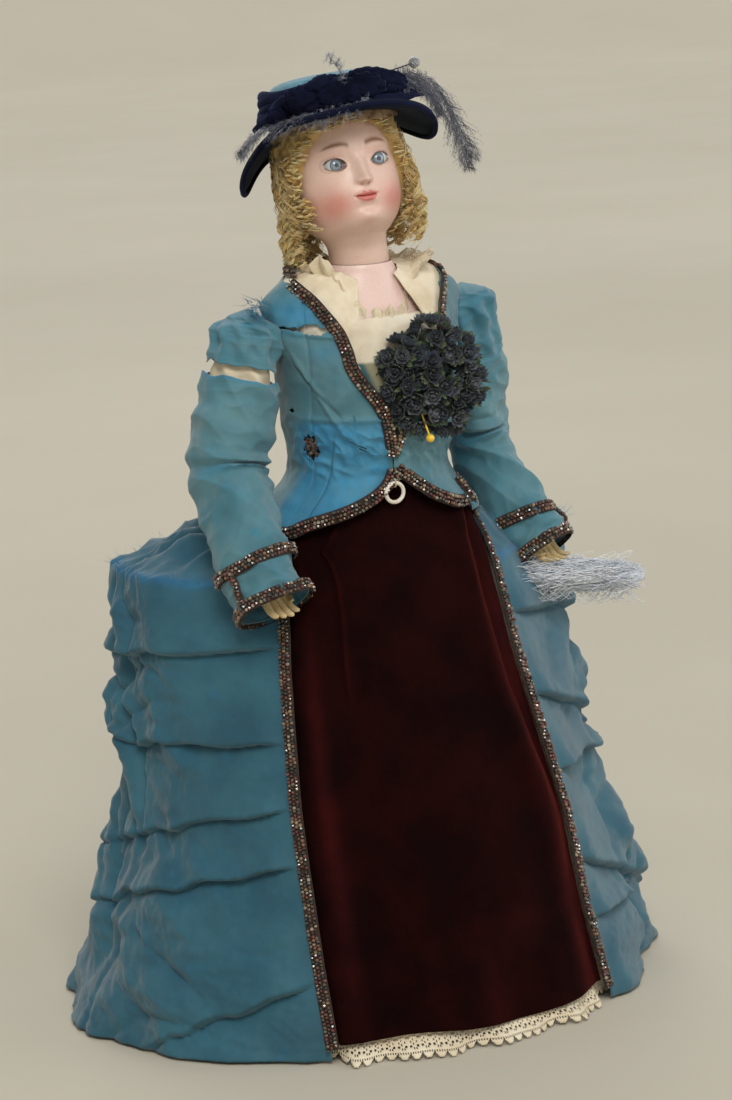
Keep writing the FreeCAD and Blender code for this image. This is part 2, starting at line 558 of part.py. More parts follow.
PLUMES = {"right": [V(-14, -30, 427), V(-32, -22, 424), V(-44, -8, 414), V(-50, 6, 402)],
          "left": [V(16, -28, 429), V(36, -17, 429), V(52, -6, 418), V(56, -6, 400), V(53, -8, 386)]}


def plume(name, points, extra="0"):
    """A feather as a chain of rounded links that thins towards its tip."""
    links = []
    for i in range(len(points) - 1):
        thick, thin = (f"dims.plume_radius - {0.7 * k:.1f} + {extra}" for k in (i, i + 1))
        links += [ball(f"{name}_joint_{i}", points[i], thick),
                  rod(f"{name}_link_{i}", points[i], points[i + 1], thick, thin)]
    links.append(ball(f"{name}_tip", points[-1], thin))
    return fuse(name, *links)


def brim_copy(name, grow):
    """The brim's solid outline again, to cut what rests on it."""
    again = cut(name, loft(name + "_out", "brim", str(grow)),
                loft(name + "_in", "brim", str(-3.4 - grow), past=2.0))
    again.Placement = brim_shell.Placement
    return again


def bow_shape(name, extra):
    """Four rounded loops side by side: (x, y, z, radius)."""
    loops = [(-20, -32, 424, 6.2), (-10, -35, 425, 7), (1, -36, 425.5, 6.6), (12, -34, 428, 7)]
    made = [ball(f"{name}_{i}", V(x, y, z), radius + extra) for i, (x, y, z, radius) in enumerate(loops)]
    for loop_ball in made:       # turns each ball's seam away from its neighbours
        loop_ball.Placement = App.Placement(loop_ball.Placement.Base, App.Rotation(V(0, 0, 1), 100))
    return fuse(name, *made)


keep(bow_shape("bow_form", 0), "hat_bow")
PIN_HEAD, PIN_POINT = V(19.9, -20, 437.5), V(-14, 14, 425)
hatpin = [ball("hatpin_ball", PIN_HEAD, "hatpin_head"), rod("hatpin_stem", PIN_HEAD, PIN_POINT,
                                                            "pin_shaft")]
for side, points in PLUMES.items():
    keep(cut(f"plume_{side}_solid", plume(f"plume_form_{side}", points),
             loft(f"plume_crown_{side}", "crown", "0.1"),
             brim_copy(f"plume_brim_{side}", 0.1), bow_shape(f"plume_bow_{side}", 0.1),
             loft(f"plume_hair_{side}", "head", "dims.hair_depth + 0.2")), f"hat_plume_{side}")
keep(fuse("hat_pin_solid", *hatpin), "hat_pin")

# bolt, washer and spring that hold the head down in its cup
keep(fuse("neck_bolt_solid", rod("bolt_stem", V(0, 0, 323), V(0, 0, 357), "bolt_radius"),
          rod("bolt_head", V(0, 0, 356), V(0, 0, 358.5), 5.2),
          rod("bolt_foot", V(0, 0, 321.5), V(0, 0, 324), 4.4)), "neck_bolt")
keep(cut("neck_washer_solid", rod("washer_disc", V(0, 0, 344.6), V(0, 0, 345.8), 6),
         rod("washer_hole", V(0, 0, 343), V(0, 0, 347), "dims.bolt_radius + 0.05")), "neck_washer")
helix = bind(doc.addObject("Part::Helix", "spring_line"), Height="dims.spring_length",
             Radius="spring_radius")
helix.Pitch = 2.2
wire = bind(doc.addObject("Part::Circle", "spring_section"), Radius="spring_wire")
wire.Placement = App.Placement(V(DIMENSIONS["spring_radius"], 0, 0), App.Rotation(V(1, 0, 0), 90))
spring = doc.addObject("Part::Sweep", "neck_spring_solid")
spring.Sections, spring.Spine, spring.Solid, spring.Frenet = [wire], (helix, []), True, True
spring.Placement = App.Placement(V(0, 0, 346.6), App.Rotation())
keep(spring, "neck_spring")

# ---------------------------------------------------------------- legs, hidden by the petticoat
for side, x in (("right", -17), ("left", 17)):
    hip, knee, ankle = V(x, 2, 188), V(x, 2, 112), V(x, 2, 42)
    bend = travel(f"knee_space_{side}", knee, knee - V(0, 0, 30), V(1, 0, 0),
                  "dims.knee_ball + dims.limb_play", 0, KNEE_TRAVEL)
    thigh = fuse(f"thigh_{side}_form", ball(f"hip_{side}", hip, "hip_ball"),
                 rod(f"thigh_tube_{side}", hip, knee, "dims.hip_ball - 1", "knee_ball"))
    keep(cut(f"thigh_{side}_solid", thigh, bend), f"thigh_{side}")
    shin_parts = [ball(f"knee_{side}", knee, "knee_ball"), rod(f"calf_{side}", knee, ankle, "knee_ball",
            "ankle_radius"),
                  rod(f"ankle_{side}", ankle, ankle - V(0, 0, 20), "ankle_radius")]
    keep(fuse(f"lower_leg_{side}_solid", *shin_parts), f"lower_leg_{side}")
    upper = rod(f"boot_shaft_{side}", ankle - V(0, 0, 24), ankle + V(0, 0, 8), "boot_shaft")
    foot = ellipsoid(f"boot_foot_{side}", V(x, -9, 20), "boot_width", 21, 7.4)
    flat = box(f"boot_under_{side}", V(x - 20, -60, 0), V(x + 20, 60, 13.6))
    keep(cut(f"boot_{side}_solid", fuse(f"boot_{side}_form", upper, foot), flat,
             rod(f"boot_inside_{side}", ankle, ankle - V(0, 0, 20), "ankle_radius"),
             rod(f"boot_calf_{side}", knee, ankle, "knee_ball", "ankle_radius")), f"boot_{side}")
    heel = bind(doc.addObject("Part::Cylinder", f"heel_{side}"), Radius=6, Height=2.4)
    place(heel, V(x, 4, 11.1))
    sole_plate = bind(doc.addObject("Part::Cylinder", f"sole_plate_{side}"),
                      Radius="dims.boot_width - 1.5", Height=1.1)
    place(sole_plate, V(x, -17, 12.4))
    middle = box(f"sole_middle_{side}", V(x - 5, -17, 12.4), V(x + 5, 8, 13.5))
    keep(fuse(f"boot_sole_{side}_solid", heel, sole_plate, middle), f"boot_sole_{side}")

# ---------------------------------------------------------------- build and export
doc.recompute()
os.makedirs("parts", exist_ok=True)
wrong = [o.Name for o in doc.Objects if "Invalid" in o.State or "Error" in o.State]
for obj in parts:
    shape = obj.Shape
    if shape.isNull() or not shape.isValid() or not shape.Solids:
        wrong.append(f"{obj.Label} (shape)")
        continue
    shape.exportStep(f"parts/{obj.Label}.step")
print("parts written:", len(parts))
if wrong:
    raise RuntimeError("these need repair: " + ", ".join(wrong))
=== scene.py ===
"""The doll's looks: bisque, mohair, silk, velvet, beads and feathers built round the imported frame."""
import math
import random

import bpy
from mathutils import Matrix, Vector, noise


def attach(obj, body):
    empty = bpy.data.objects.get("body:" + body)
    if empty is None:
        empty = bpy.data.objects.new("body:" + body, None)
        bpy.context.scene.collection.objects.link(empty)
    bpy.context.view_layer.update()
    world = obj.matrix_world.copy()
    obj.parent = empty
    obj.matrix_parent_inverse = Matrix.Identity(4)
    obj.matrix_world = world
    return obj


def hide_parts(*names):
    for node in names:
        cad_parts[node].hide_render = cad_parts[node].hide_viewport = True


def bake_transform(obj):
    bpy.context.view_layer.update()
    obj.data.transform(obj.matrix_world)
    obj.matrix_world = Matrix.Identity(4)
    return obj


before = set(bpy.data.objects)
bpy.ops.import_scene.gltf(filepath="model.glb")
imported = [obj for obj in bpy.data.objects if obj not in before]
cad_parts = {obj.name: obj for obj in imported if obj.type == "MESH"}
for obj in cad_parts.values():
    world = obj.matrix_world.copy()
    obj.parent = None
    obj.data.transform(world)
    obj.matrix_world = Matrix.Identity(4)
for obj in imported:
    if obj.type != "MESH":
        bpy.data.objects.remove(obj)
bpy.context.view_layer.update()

V = Vector
rng = random.Random(7)
MM = 0.001
TURN = 2 * math.pi
ROOT, HEAD = "dressed_torso", "head"


# ---------------------------------------- small maths
def lerp(a, b, t):
    return a + (b - a) * t


def smooth(lo, hi, x):
    t = min(1.0, max(0.0, (x - lo) / (hi - lo)))
    return t * t * (3 - 2 * t)


def bump(x, centre, width):
    return math.exp(-((x - centre) / width) ** 2)


def wobble(x, y, z=0.0, scale=1.0):
    """Smooth noise from -1 to 1."""
    return noise.noise(V((x * scale, y * scale, z * scale)))


def ridges(x, y, z, scale):
    """Noise with sharp crests from 0 to 1, for creased cloth."""
    return 1 - abs(noise.noise(V((x * scale, y * scale, z * scale)))) * 2


def scatter():
    """A random offset inside a cube from -1 to 1."""
    return V((rng.uniform(-1, 1), rng.uniform(-1, 1), rng.uniform(-1, 1)))


def table(rows, z):
    """Rows of (height, values...) read at a height with a smooth curve through them."""
    rows = sorted(rows)
    z = min(max(z, rows[0][0]), rows[-1][0])
    i = max(k for k in range(len(rows) - 1) if rows[k][0] <= z) if z > rows[0][0] else 0
    a, b = rows[i], rows[i + 1]
    before, after = rows[max(i - 1, 0)], rows[min(i + 2, len(rows) - 1)]
    t, out = (z - a[0]) / (b[0] - a[0]), []
    for k in range(1, len(a)):
        da = (b[k] - before[k]) / (b[0] - before[0]) * (b[0] - a[0])
        db = (after[k] - a[k]) / (after[0] - a[0]) * (b[0] - a[0])
        out.append((2 * t**3 - 3 * t**2 + 1) * a[k] + (t**3 - 2 * t**2 + t) * da
                   + (-2 * t**3 + 3 * t**2) * b[k] + (t**3 - t**2) * db)
    return out


def ring_point(rows, z, angle, out=0.0):
    """A point of an elliptical section: angle 0 is the front (-Y), positive is the doll's left (+X)."""
    wide, deep, shift = table(rows, z)
    s, c = math.sin(angle), math.cos(angle)
    normal = V((s / wide, -c / deep, 0)).normalized()
    return V((wide * s, shift - deep * c, z)) + normal * out


# ---------------------------------------- making pieces
def piece(name, verts, faces, mat, body, replaces=(), tint=None, flat=False):
    """A mesh from points in millimetres. tint is a colour for each point."""
    mesh = bpy.data.meshes.new(name)
    mesh.from_pydata([V(v) * MM for v in verts], [], faces)
    mesh.polygons.foreach_set("use_smooth", [not flat] * len(mesh.polygons))
    if tint:
        layer = mesh.color_attributes.new("tint", "FLOAT_COLOR", "POINT")
        layer.data.foreach_set("color", [c for t in tint for c in (*t[:3], 1.0)])
    obj = bpy.data.objects.new(name, mesh)
    bpy.context.collection.objects.link(obj)
    mesh.materials.append(mat)
    if body:
        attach(obj, body)
    if replaces:
        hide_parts(*replaces)
    return obj


def ladder(first, steps, across, closed=False):
    """Faces between rows of points, each row `across` points wide and joined to itself if closed."""
    faces = []
    for j in range(steps):
        low = first + j * across
        high = low + across
        for i in range(across if closed else across - 1):
            k = (i + 1) % across
            faces.append((low + i, low + k, high + k, high + i))
    return faces


def pipe(first, steps, sides):
    """The faces of a pipe with flat ends."""
    return ladder(first, steps, sides, True) + [tuple(first + k for k in reversed(range(sides))),
                                                tuple(first + steps * sides + k for k in range(sides))]


def grid(nu, nv, point, wrap=False, hole=None):
    """Points and faces of a sheet: point(u, v) with u and v from 0 to 1."""
    cols = nu if wrap else nu + 1
    verts = [point(i / nu, j / nv) for j in range(nv + 1) for i in range(cols)]
    faces = ladder(0, nv, cols, wrap)
    if hole:
        faces = [f for n, f in enumerate(faces) if not hole((n % nu + 0.5) / nu, (n // nu + 0.5) / nv)]
    return verts, faces


def thicken(obj, amount):
    """Gives a sheet its thickness in millimetres, inwards."""
    mod = obj.modifiers.new("thickness", "SOLIDIFY")
    mod.thickness, mod.offset = amount * MM, -1.0
    return obj


def lined(obj, amount, lining):
    """Thickens cloth and gives its inner side another material."""
    thicken(obj, amount).data.materials.append(lining)
    obj.modifiers["thickness"].material_offset = 1
    return obj


def paint(nu, nv, colour, wrap=False):
    """The tint of each point of a grid: colour(u, v)."""
    return [colour(i / nu, j / nv) for j in range(nv + 1) for i in range(nu if wrap else nu + 1)]


class Strands:
    """Collects many thin ribbons or tubes into one mesh."""

    def __init__(self):
        self.verts, self.faces, self.tint, self.matt = [], [], [], []

    def ribbon(self, path, width, side, tint, taper=True):
        first = len(self.verts)
        for i, p in enumerate(path):
            t = i / (len(path) - 1)
            w = width * ((1 - t) ** 0.6 if taper else 1.0) * 0.5
            self.verts += [p - side * w, p + side * w]
            self.tint += [tint, tint]
        self.faces += ladder(first, len(path) - 1, 2)

    def tube(self, path, radius, tint, sides=5, taper=0.4, end_tint=None):
        first = len(self.verts)
        frame_x = None
        for i, p in enumerate(path):
            ahead = (path[min(i + 1, len(path) - 1)] - path[max(i - 1, 0)]).normalized()
            if frame_x is None:
                frame_x = ahead.orthogonal().normalized()
            frame_x = (frame_x - ahead * frame_x.dot(ahead)).normalized()
            frame_y = ahead.cross(frame_x)
            t = i / (len(path) - 1)
            r = radius * lerp(1.0, taper, t)
            shade = tint if end_tint is None else tuple(lerp(a, b, t) for a, b in zip(tint, end_tint))
            for k in range(sides):
                a = TURN * k / sides
                self.verts.append(p + (frame_x * math.cos(a) + frame_y * math.sin(a)) * r)
                self.tint.append(shade)
        self.faces += pipe(first, len(path) - 1, sides)

    def solid(self, centre, axes, tint, shape):
        """A small copy of shape (points, faces) scaled along three axis vectors."""
        first = len(self.verts)
        self.verts += [centre + axes[0] * p[0] + axes[1] * p[1] + axes[2] * p[2] for p in shape[0]]
        self.faces += [tuple(first + i for i in f) for f in shape[1]]
        self.tint += [tint] * len(shape[0])

    def build(self, name, mat, body, replaces=(), flat=False, slot=None):
        obj = piece(name, self.verts, self.faces, mat, body, replaces, self.tint, flat)
        if self.matt:                         # the braid under the beads is dull cloth
            obj.data.materials.append(BRAID)
            for i in self.matt:
                obj.data.polygons[i].material_index = 1
        return obj


# ---------------------------------------- materials
class Nodes:
    """Short names for the nodes that the materials share."""

    def __init__(self, name, rough=0.6, **inputs):
        self.mat = bpy.data.materials.new(name)
        self.mat.use_nodes = True
        self.tree = self.mat.node_tree
        self.shader = self.tree.nodes["Principled BSDF"]
        self.shader.inputs["Roughness"].default_value = rough
        for key, value in inputs.items():
            self.shader.inputs[key.replace("_", " ")].default_value = value
        self.where = self.add("ShaderNodeTexCoord").outputs["Object"]

    def add(self, kind, **values):
        node = self.tree.nodes.new(kind)
        for key, value in values.items():
            if key in node.inputs:
                if hasattr(value, "node"):
                    self.tree.links.new(value, node.inputs[key])
                else:
                    node.inputs[key].default_value = value
            else:
                setattr(node, key, value)
        return node

    def link(self, out, to):
        self.tree.links.new(out, self.shader.inputs[to])

    def noise(self, scale, detail=4.0, stretch=None, rough=0.6):
        vector = self.where
        if stretch:
            vector = self.add("ShaderNodeMapping", Vector=self.where, Scale=stretch).outputs[0]
        return self.add("ShaderNodeTexNoise", Vector=vector, Scale=scale, Detail=detail,
                        Roughness=rough).outputs["Fac"]

    def ramp(self, fac, stops):
        node = self.add("ShaderNodeValToRGB", Fac=fac)
        els = node.color_ramp.elements
        while len(els) < len(stops):
            els.new(0.5)
        for el, (pos, colour) in zip(els, stops):
            el.position, el.color = pos, (*colour, 1)
        return node.outputs["Color"]

    def mix(self, fac, a, b, blend="MIX"):
        node = self.tree.nodes.new("ShaderNodeMix")
        node.data_type, node.blend_type = "RGBA", blend
        for socket, value in ((node.inputs[0], fac), (node.inputs[6], a), (node.inputs[7], b)):
            if hasattr(value, "node"):
                self.tree.links.new(value, socket)
            else:
                socket.default_value = value if isinstance(value, float) else (*value[:3], 1)
        return node.outputs[2]

    def maths(self, operation, a, b=0.0, clamp=False):
        node = self.tree.nodes.new("ShaderNodeMath")
        node.operation, node.use_clamp = operation, clamp
        for socket, value in ((node.inputs[0], a), (node.inputs[1], b)):
            if hasattr(value, "node"):
                self.tree.links.new(value, socket)
            else:
                socket.default_value = value
        return node.outputs[0]

    def tint(self):
        return self.add("ShaderNodeVertexColor", layer_name="tint").outputs["Color"]

    def bump(self, height, strength=0.3, distance=0.0003):
        node = self.add("ShaderNodeBump", Height=height, Strength=strength, Distance=distance)
        self.link(node.outputs[0], "Normal")
        return node.outputs[0]

    def weave(self, scale):
        """Crossed threads, from 0 to 1."""
        across = self.add("ShaderNodeTexWave", Vector=self.where, Scale=scale, Distortion=0.6,
                          bands_direction="DIAGONAL").outputs["Fac"]
        up = self.add("ShaderNodeTexWave", Vector=self.where, Scale=scale * 0.9, Distortion=0.6,
                      bands_direction="Z").outputs["Fac"]
        return self.maths("MULTIPLY", across, up)


def silk(name, base, worn, bright):
    """Old taffeta: fine cross ribs, faded patches, brighter raw silk in the creases."""
    n = Nodes(name, rough=0.52, Sheen_Weight=0.35, Sheen_Roughness=0.4, Specular_IOR_Level=0.35)
    fade = n.ramp(n.noise(38, 5), [(0.36, base), (0.62, worn)])
    streak = n.noise(900, 2, stretch=(0.25, 0.25, 1.6))
    shade = n.mix(n.maths("MULTIPLY", streak, 0.35), fade, bright)
    shade = n.mix(n.ramp(n.noise(95, 6, rough=0.75), [(0.60, (0, 0, 0)), (0.72, (0.75, 0.75, 0.75))]),
                  shade, bright)
    weave = n.weave(2600)
    shade = n.mix(n.maths("MULTIPLY", weave, 0.22), shade, (0.02, 0.07, 0.11))
    shade = n.mix(1.0, shade, n.tint(), "MULTIPLY")
    n.link(shade, "Base Color")
    n.link(n.maths("ADD", n.maths("MULTIPLY", n.noise(70), 0.25), 0.40), "Roughness")
    creases = n.maths("ADD", n.maths("MULTIPLY", weave, 0.35), n.noise(330, 6, rough=0.7))
    n.bump(creases, 0.42, 0.0006)
    return n.mat


def velvet(name, dark, pile, bright):
    """Dark pile with a lighter nap in patches and a soft sheen."""
    n = Nodes(name, rough=0.85, Sheen_Weight=0.36, Sheen_Roughness=0.32, Sheen_Tint=(*bright, 1),
              Specular_IOR_Level=0.05)
    fibre = n.noise(2400, 2)
    nap = n.ramp(n.noise(34, 4), [(0.35, dark), (0.68, pile)])
    shade = n.mix(n.maths("MULTIPLY", fibre, 0.5), nap, dark)
    shade = n.mix(n.ramp(n.noise(420, 2), [(0.74, (0, 0, 0)), (0.80, (0.5, 0.5, 0.5))]), shade, pile)
    n.link(n.mix(1.0, shade, n.tint(), "MULTIPLY"), "Base Color")
    n.bump(n.maths("ADD", fibre, n.noise(260, 3)), 0.5, 0.0004)
    return n.mat


def plain(name, stops, scale, rough=0.7, bumps=0.3, fine=700, tinted=True, **inputs):
    """Colour from noise through a ramp, times the mesh's own tint when it is tinted."""
    n = Nodes(name, rough=rough, **inputs)
    shade = n.ramp(n.noise(scale, 6), stops)
    if tinted:
        shade = n.mix(1.0, shade, n.tint(), "MULTIPLY")
    n.link(shade, "Base Color")
    n.link(n.maths("ADD", n.maths("MULTIPLY", n.noise(scale * 2.3), 0.2), rough - 0.1), "Roughness")
    n.bump(n.noise(fine, 5), bumps, 0.0003)
    return n.mat


SILK = silk("silk_taffeta", (0.068, 0.200, 0.250), (0.135, 0.275, 0.300), (0.035, 0.265, 0.43))
# a darker copy of the silk for the inner faces of the cloth: painted shade
SILK_SHADED_INSIDE = silk("silk_inside_painted_shade", (0.02, 0.10, 0.15), (0.04, 0.15, 0.2), (0.02, 0.15, 0.27))
VELVET = velvet("burgundy_velvet", (0.0055, 0.0008, 0.0012), (0.016, 0.0020, 0.0018), (0.30, 0.035, 0.02))
NAVY = velvet("navy_velvet", (0.003, 0.004, 0.012), (0.012, 0.016, 0.045), (0.10, 0.14, 0.34))
FELT = plain("black_felt", [(0.3, (0.005, 0.008, 0.016)), (0.7, (0.014, 0.020, 0.036))], 90, 0.95, 0.6,
             1500, False, Specular_IOR_Level=0.12)
FELT_UNDER = plain("green_black_lining", [(0.35, (0.004, 0.011, 0.011)), (0.7, (0.009, 0.024, 0.023))], 70,
                   0.85, 0.4, 1200, False, Specular_IOR_Level=0.15)
TEAL = plain("teal_weave", [(0.3, (0.05, 0.17, 0.24)), (0.7, (0.12, 0.32, 0.42))], 300, 0.8, 0.8, 1600,
             False, Sheen_Weight=0.3)
COTTON = plain("cream_cotton", [(0.3, (0.66, 0.56, 0.42)), (0.55, (0.80, 0.73, 0.60)),
                                (0.75, (0.86, 0.81, 0.70))], 60, 0.85, 0.4, 1300)
LACE = plain("net_lace", [(0.3, (0.68, 0.58, 0.42)), (0.7, (0.84, 0.77, 0.62))], 80, 0.85, 0.3, 1600)
KID = plain("kid_leather", [(0.3, (0.52, 0.38, 0.18)), (0.7, (0.74, 0.60, 0.36))], 120, 0.6, 0.5, 1400)
BOOT = plain("boot_leather", [(0.3, (0.05, 0.025, 0.014)), (0.7, (0.12, 0.06, 0.03))], 90, 0.45, 0.3, 900,
             False)
PAPER = plain("flower_paper", [(0.3, (0.5, 0.5, 0.5)), (0.7, (1, 1, 1))], 260, 0.6, 0.4, 1100,
              Sheen_Weight=0.2)
MOHAIR = plain("mohair", [(0.25, (0.62, 0.62, 0.62)), (0.75, (1, 1, 1))], 400, 0.5, 0.5, 2200,
               Sheen_Weight=0.25)
PLUME = plain("plume_barbs", [(0.3, (0.7, 0.7, 0.7)), (0.7, (1, 1, 1))], 500, 0.6, 0.2, 1500,
              Sheen_Weight=0.4)
FLOSS = plain("feather_floss", [(0.3, (0.8, 0.8, 0.8)), (0.7, (1, 1, 1))], 400, 0.45, 0.2, 1500,
              Sheen_Weight=0.5)
BEADS = plain("glass_beads", [(0.3, (0.7, 0.7, 0.7)), (0.6, (1, 1, 1))], 900, 0.16, 0.1, 900,
              Specular_IOR_Level=0.9, Coat_Weight=0.6)
STEEL = plain("cut_steel", [(0.3, (0.35, 0.36, 0.38)), (0.7, (0.7, 0.72, 0.75))], 300, 0.25, 0.2, 700,
              False, Metallic=1.0)
BONE = plain("bone", [(0.3, (0.66, 0.60, 0.50)), (0.7, (0.86, 0.82, 0.74))], 200, 0.35, 0.15, 900, False)
WOOD = plain("turned_wood", [(0.35, (0.10, 0.05, 0.025)), (0.65, (0.22, 0.12, 0.06))], 40, 0.4, 0.2, 300,
             False)
CORK = plain("cork", [(0.4, (0.20, 0.11, 0.05)), (0.6, (0.50, 0.34, 0.20))], 260, 0.9, 0.8, 500, False)
YELLOW = plain("yellow_glass", [(0.3, (0.75, 0.42, 0.02)), (0.7, (0.95, 0.68, 0.08))], 300, 0.15, 0.1, 500,
               False)
THREAD = plain("thread", [(0.3, (0.40, 0.32, 0.2)), (0.7, (0.7, 0.6, 0.42))], 900, 0.8, 0.3, 2500, False)
BARE_KID = plain("kid_leather_body", [(0.3, (0.52, 0.38, 0.18)), (0.7, (0.74, 0.60, 0.36))], 120, 0.6, 0.5,
                 1400, False)
BARE_COTTON = plain("cream_cotton_body", [(0.3, (0.66, 0.56, 0.42)), (0.7, (0.86, 0.81, 0.70))], 60, 0.85,
                    0.4, 1300, False)
BRAID = plain("dark_braid", [(0.3, (0.020, 0.014, 0.011)), (0.7, (0.050, 0.034, 0.026))], 500, 0.95, 0.4,
              1500, False)
WHITE = (1.0, 1.0, 1.0)

# ---------------------------------------- skirt
SKIRT = [(8, 128.5, 114.5, 23), (40, 115, 110, 20), (100, 98, 96, 14), (160, 84, 78, 12), (205, 66, 59, 11),
         (228, 48, 41.5, 4.8), (250, 32, 28, 1.5)]
DRAPE = [(1, 146, 127, 35), (40, 132, 117, 32), (90, 113, 103, 31), (150, 109, 86, 35), (190, 110, 73, 33),
         (212, 107, 63, 34), (227, 90, 52, 31)]
# the beaded sides of the velvet panel: height, x on the right, x on the left
PANEL = [(6, -69, 70), (41, -70, 62), (66, -70, 58), (98, -69.5, 54), (130, -67.5, 47), (168, -63, 41),
         (193, -58, 41),
         (230, -50, 41), (252, -44, 36)]


def panel_angle(z, side):
    """The angle of the panel's side at a height: side 0 is the doll's right, 1 its left."""
    x = table(PANEL, z)[side]
    wide = table(SKIRT, z)[0]
    return math.asin(max(-0.97, min(0.97, x / wide)))


def velvet_out(u, z):
    """How far the velvet stands off the skirt's shape: a tuck, soft puffs and a long fold on the left."""
    tuck = smooth(0.20, 0.225, u) * smooth(150, 175, z) * 1.3 - 1.5 * bump(u, 0.215, 0.010) * smooth(150,
            172, z)
    puff = 3.2 * bump(u, 0.10, 0.07) * bump(z, 135, 40) + 1.8 * bump(u, 0.07, 0.05) * bump(z, 60, 30)
    lean = 0.80 + 0.10 * smooth(220, 90, z)
    fold = 4.2 * bump(u, lean, 0.055) * smooth(60, 120, z) * smooth(246, 225, z) - 2.2 * bump(u,
            lean + 0.085, 0.02) * smooth(90, 140, z)
    low = 2.2 * bump(u, 0.90, 0.06) * bump(z, 70, 45)
    hem = 1.6 * math.sin(u * 16 + 1.0) * smooth(60, 12, z)
    return 0.4 + tuck + puff + fold + low + hem + 0.9 * wobble(u * 3, z * 0.012, 2,
            1.3) + 0.5 * wobble(u * 9, z * 0.03, 5, 1.6)


def velvet_point(u, v):
    """u goes from the right beads to the left beads, v from the hem to the waist."""
    z = lerp(9.5 + 1.5 * math.sin(u * 7) + 1.2 * (u - 0.5), 250, v)
    angle = lerp(panel_angle(z, 0), panel_angle(z, 1), u)
    edge = smooth(0, 0.03, u) * smooth(1, 0.97, u)
    return ring_point(SKIRT, z, angle, velvet_out(u, z) * edge)


def velvet_pile_and_highlight(u, v):
    """Painted highlight along the crests of the folds and at the tuck, with lighter pile in random patches
    low down.
    """
    z = lerp(10, 250, v)
    crest = 1.0 + 2.6 * bump(u, 0.09, 0.035) * bump(z, 110, 75) + 2.4 * bump(u, 0.93, 0.05) * smooth(230,
            150, z)
    crest += 1.6 * bump(u, 0.86, 0.03) * smooth(120, 200, z)
    crest += 1.0 * max(0, wobble(u * 6, z * 0.02, 3, 1.4)) * smooth(150, 40, z)
    crest += 0.9 * bump(u, 0.235, 0.012) * smooth(150, 180, z)
    return crest, crest * 0.9, crest * 0.8


verts, faces = grid(150, 190, velvet_point)
# the tint carries a painted highlight on the velvet's fold crests
pile_and_highlight = paint(150, 190, velvet_pile_and_highlight)
panel = thicken(piece("velvet_panel", verts, faces, VELVET, ROOT, ["skirt_front_panel"], pile_and_highlight), 0.9)

# pleats on each side: height where the crease meets the beads, fall per millimetre of reach, depth
PLEATS = {0: [(226, 0.02, 3.0), (181, -0.10, 5.5), (139, -0.08, 5.0), (112, -0.26, 5.0), (87, -0.24, 5.5),
              (38, -0.42, 5.0), (-8, 0, 4)],
          1: [(226, 0.0, 3.0), (184, -0.20, 5.0), (150, -0.50, 6.5), (112, -0.10, 7.0), (70, -0.46, 6.0),
              (42, -0.10, 5.0), (-8, 0, 4)]}
# loose puffs: reach from the beads, height, size along and across, lean, how far they stand out
PUFFS = {0: [(108, 205, 14, 30, 0.2, 7), (84, 196, 8, 30, -0.2, 5), (112, 167, 24, 11, 0.5, 8),
             (98, 138, 34, 10, 0.9, 9),
             (74, 158, 22, 7, -0.4, 4), (118, 108, 9, 40, 0.25, 6), (60, 60, 40, 18, 0.2, 4),
             (140, 70, 14, 34, 0.2, 8), (100, 30, 40, 12, -0.3, 4)],
         1: [(60, 205, 16, 26, -0.2, 6), (44, 165, 30, 10, 0.6, 7), (66, 142, 26, 12, -0.5, 8),
             (50, 118, 14, 22, 0.3, 5),
             (80, 80, 30, 34, 0.4, 12), (52, 64, 24, 9, 0.9, 6), (96, 40, 30, 14, 0.2, 8),
             (30, 24, 26, 12, 0, 4)]}


def drape_out(side, reach, z):
    """The folds of the overskirt: knife pleats by the beads that loosen into puffs further round."""
    lines = [(z0 + fall * reach + 4.5 * wobble(reach * 0.045, z0, side, 1.0), deep) for z0, fall,
             deep in PLEATS[side]]
    out = 0.0
    for (top, _), (low, deep) in zip(lines, lines[1:]):
        if low < z <= top:
            t = (top - z) / max(top - low, 1)
            out += deep * (t ** 1.5) * smooth(1.0, 0.955, t) * lerp(1, 0.45, smooth(60, 130, reach))
            out -= 1.6 * bump(t, 0.0, 0.035) * smooth(0, 10, reach)
    for r0, z0, along, across, lean, high in PUFFS[side]:
        dr, dz = reach - r0, z - z0
        a, b = dr * math.cos(lean) + dz * math.sin(lean), -dr * math.sin(lean) + dz * math.cos(lean)
        b += 0.012 * a * a
        d = math.hypot(a / along, b / across)
        out += high * (math.exp(-d * d) - 0.35 * math.exp(-((d - 1.35) / 0.22) ** 2) * smooth(25, 60,
                reach))
    far = smooth(6, 70, reach)
    crease = ridges(reach * 0.55 + z * 0.35, z * 0.8 - reach * 0.3, side * 9.0, 0.045)
    out += 3.4 * far * (crease - 0.5)
    out += (0.8 + 0.8 * far) * wobble(reach * 0.5 + z * 0.5, z - reach * 0.4, side, 0.075)
    out += (0.4 + 0.7 * far) * (ridges(reach * 0.6 - z * 0.5, z + reach * 0.2, side * 5.0, 0.12) - 0.5)
    return (out + 0.35 * wobble(reach, z, side, 0.3)) * lerp(0.12, 1,
            smooth(3, 14, reach))      # flat under the beads


BACK_FOLDS = [(-0.95, 0.15, 9), (-0.66, 0.09, -6), (-0.38, 0.15, 9), (-0.02, 0.12, -7), (0.27, 0.14, 9),
              (0.58, 0.09, -6), (0.87, 0.15, 9)]


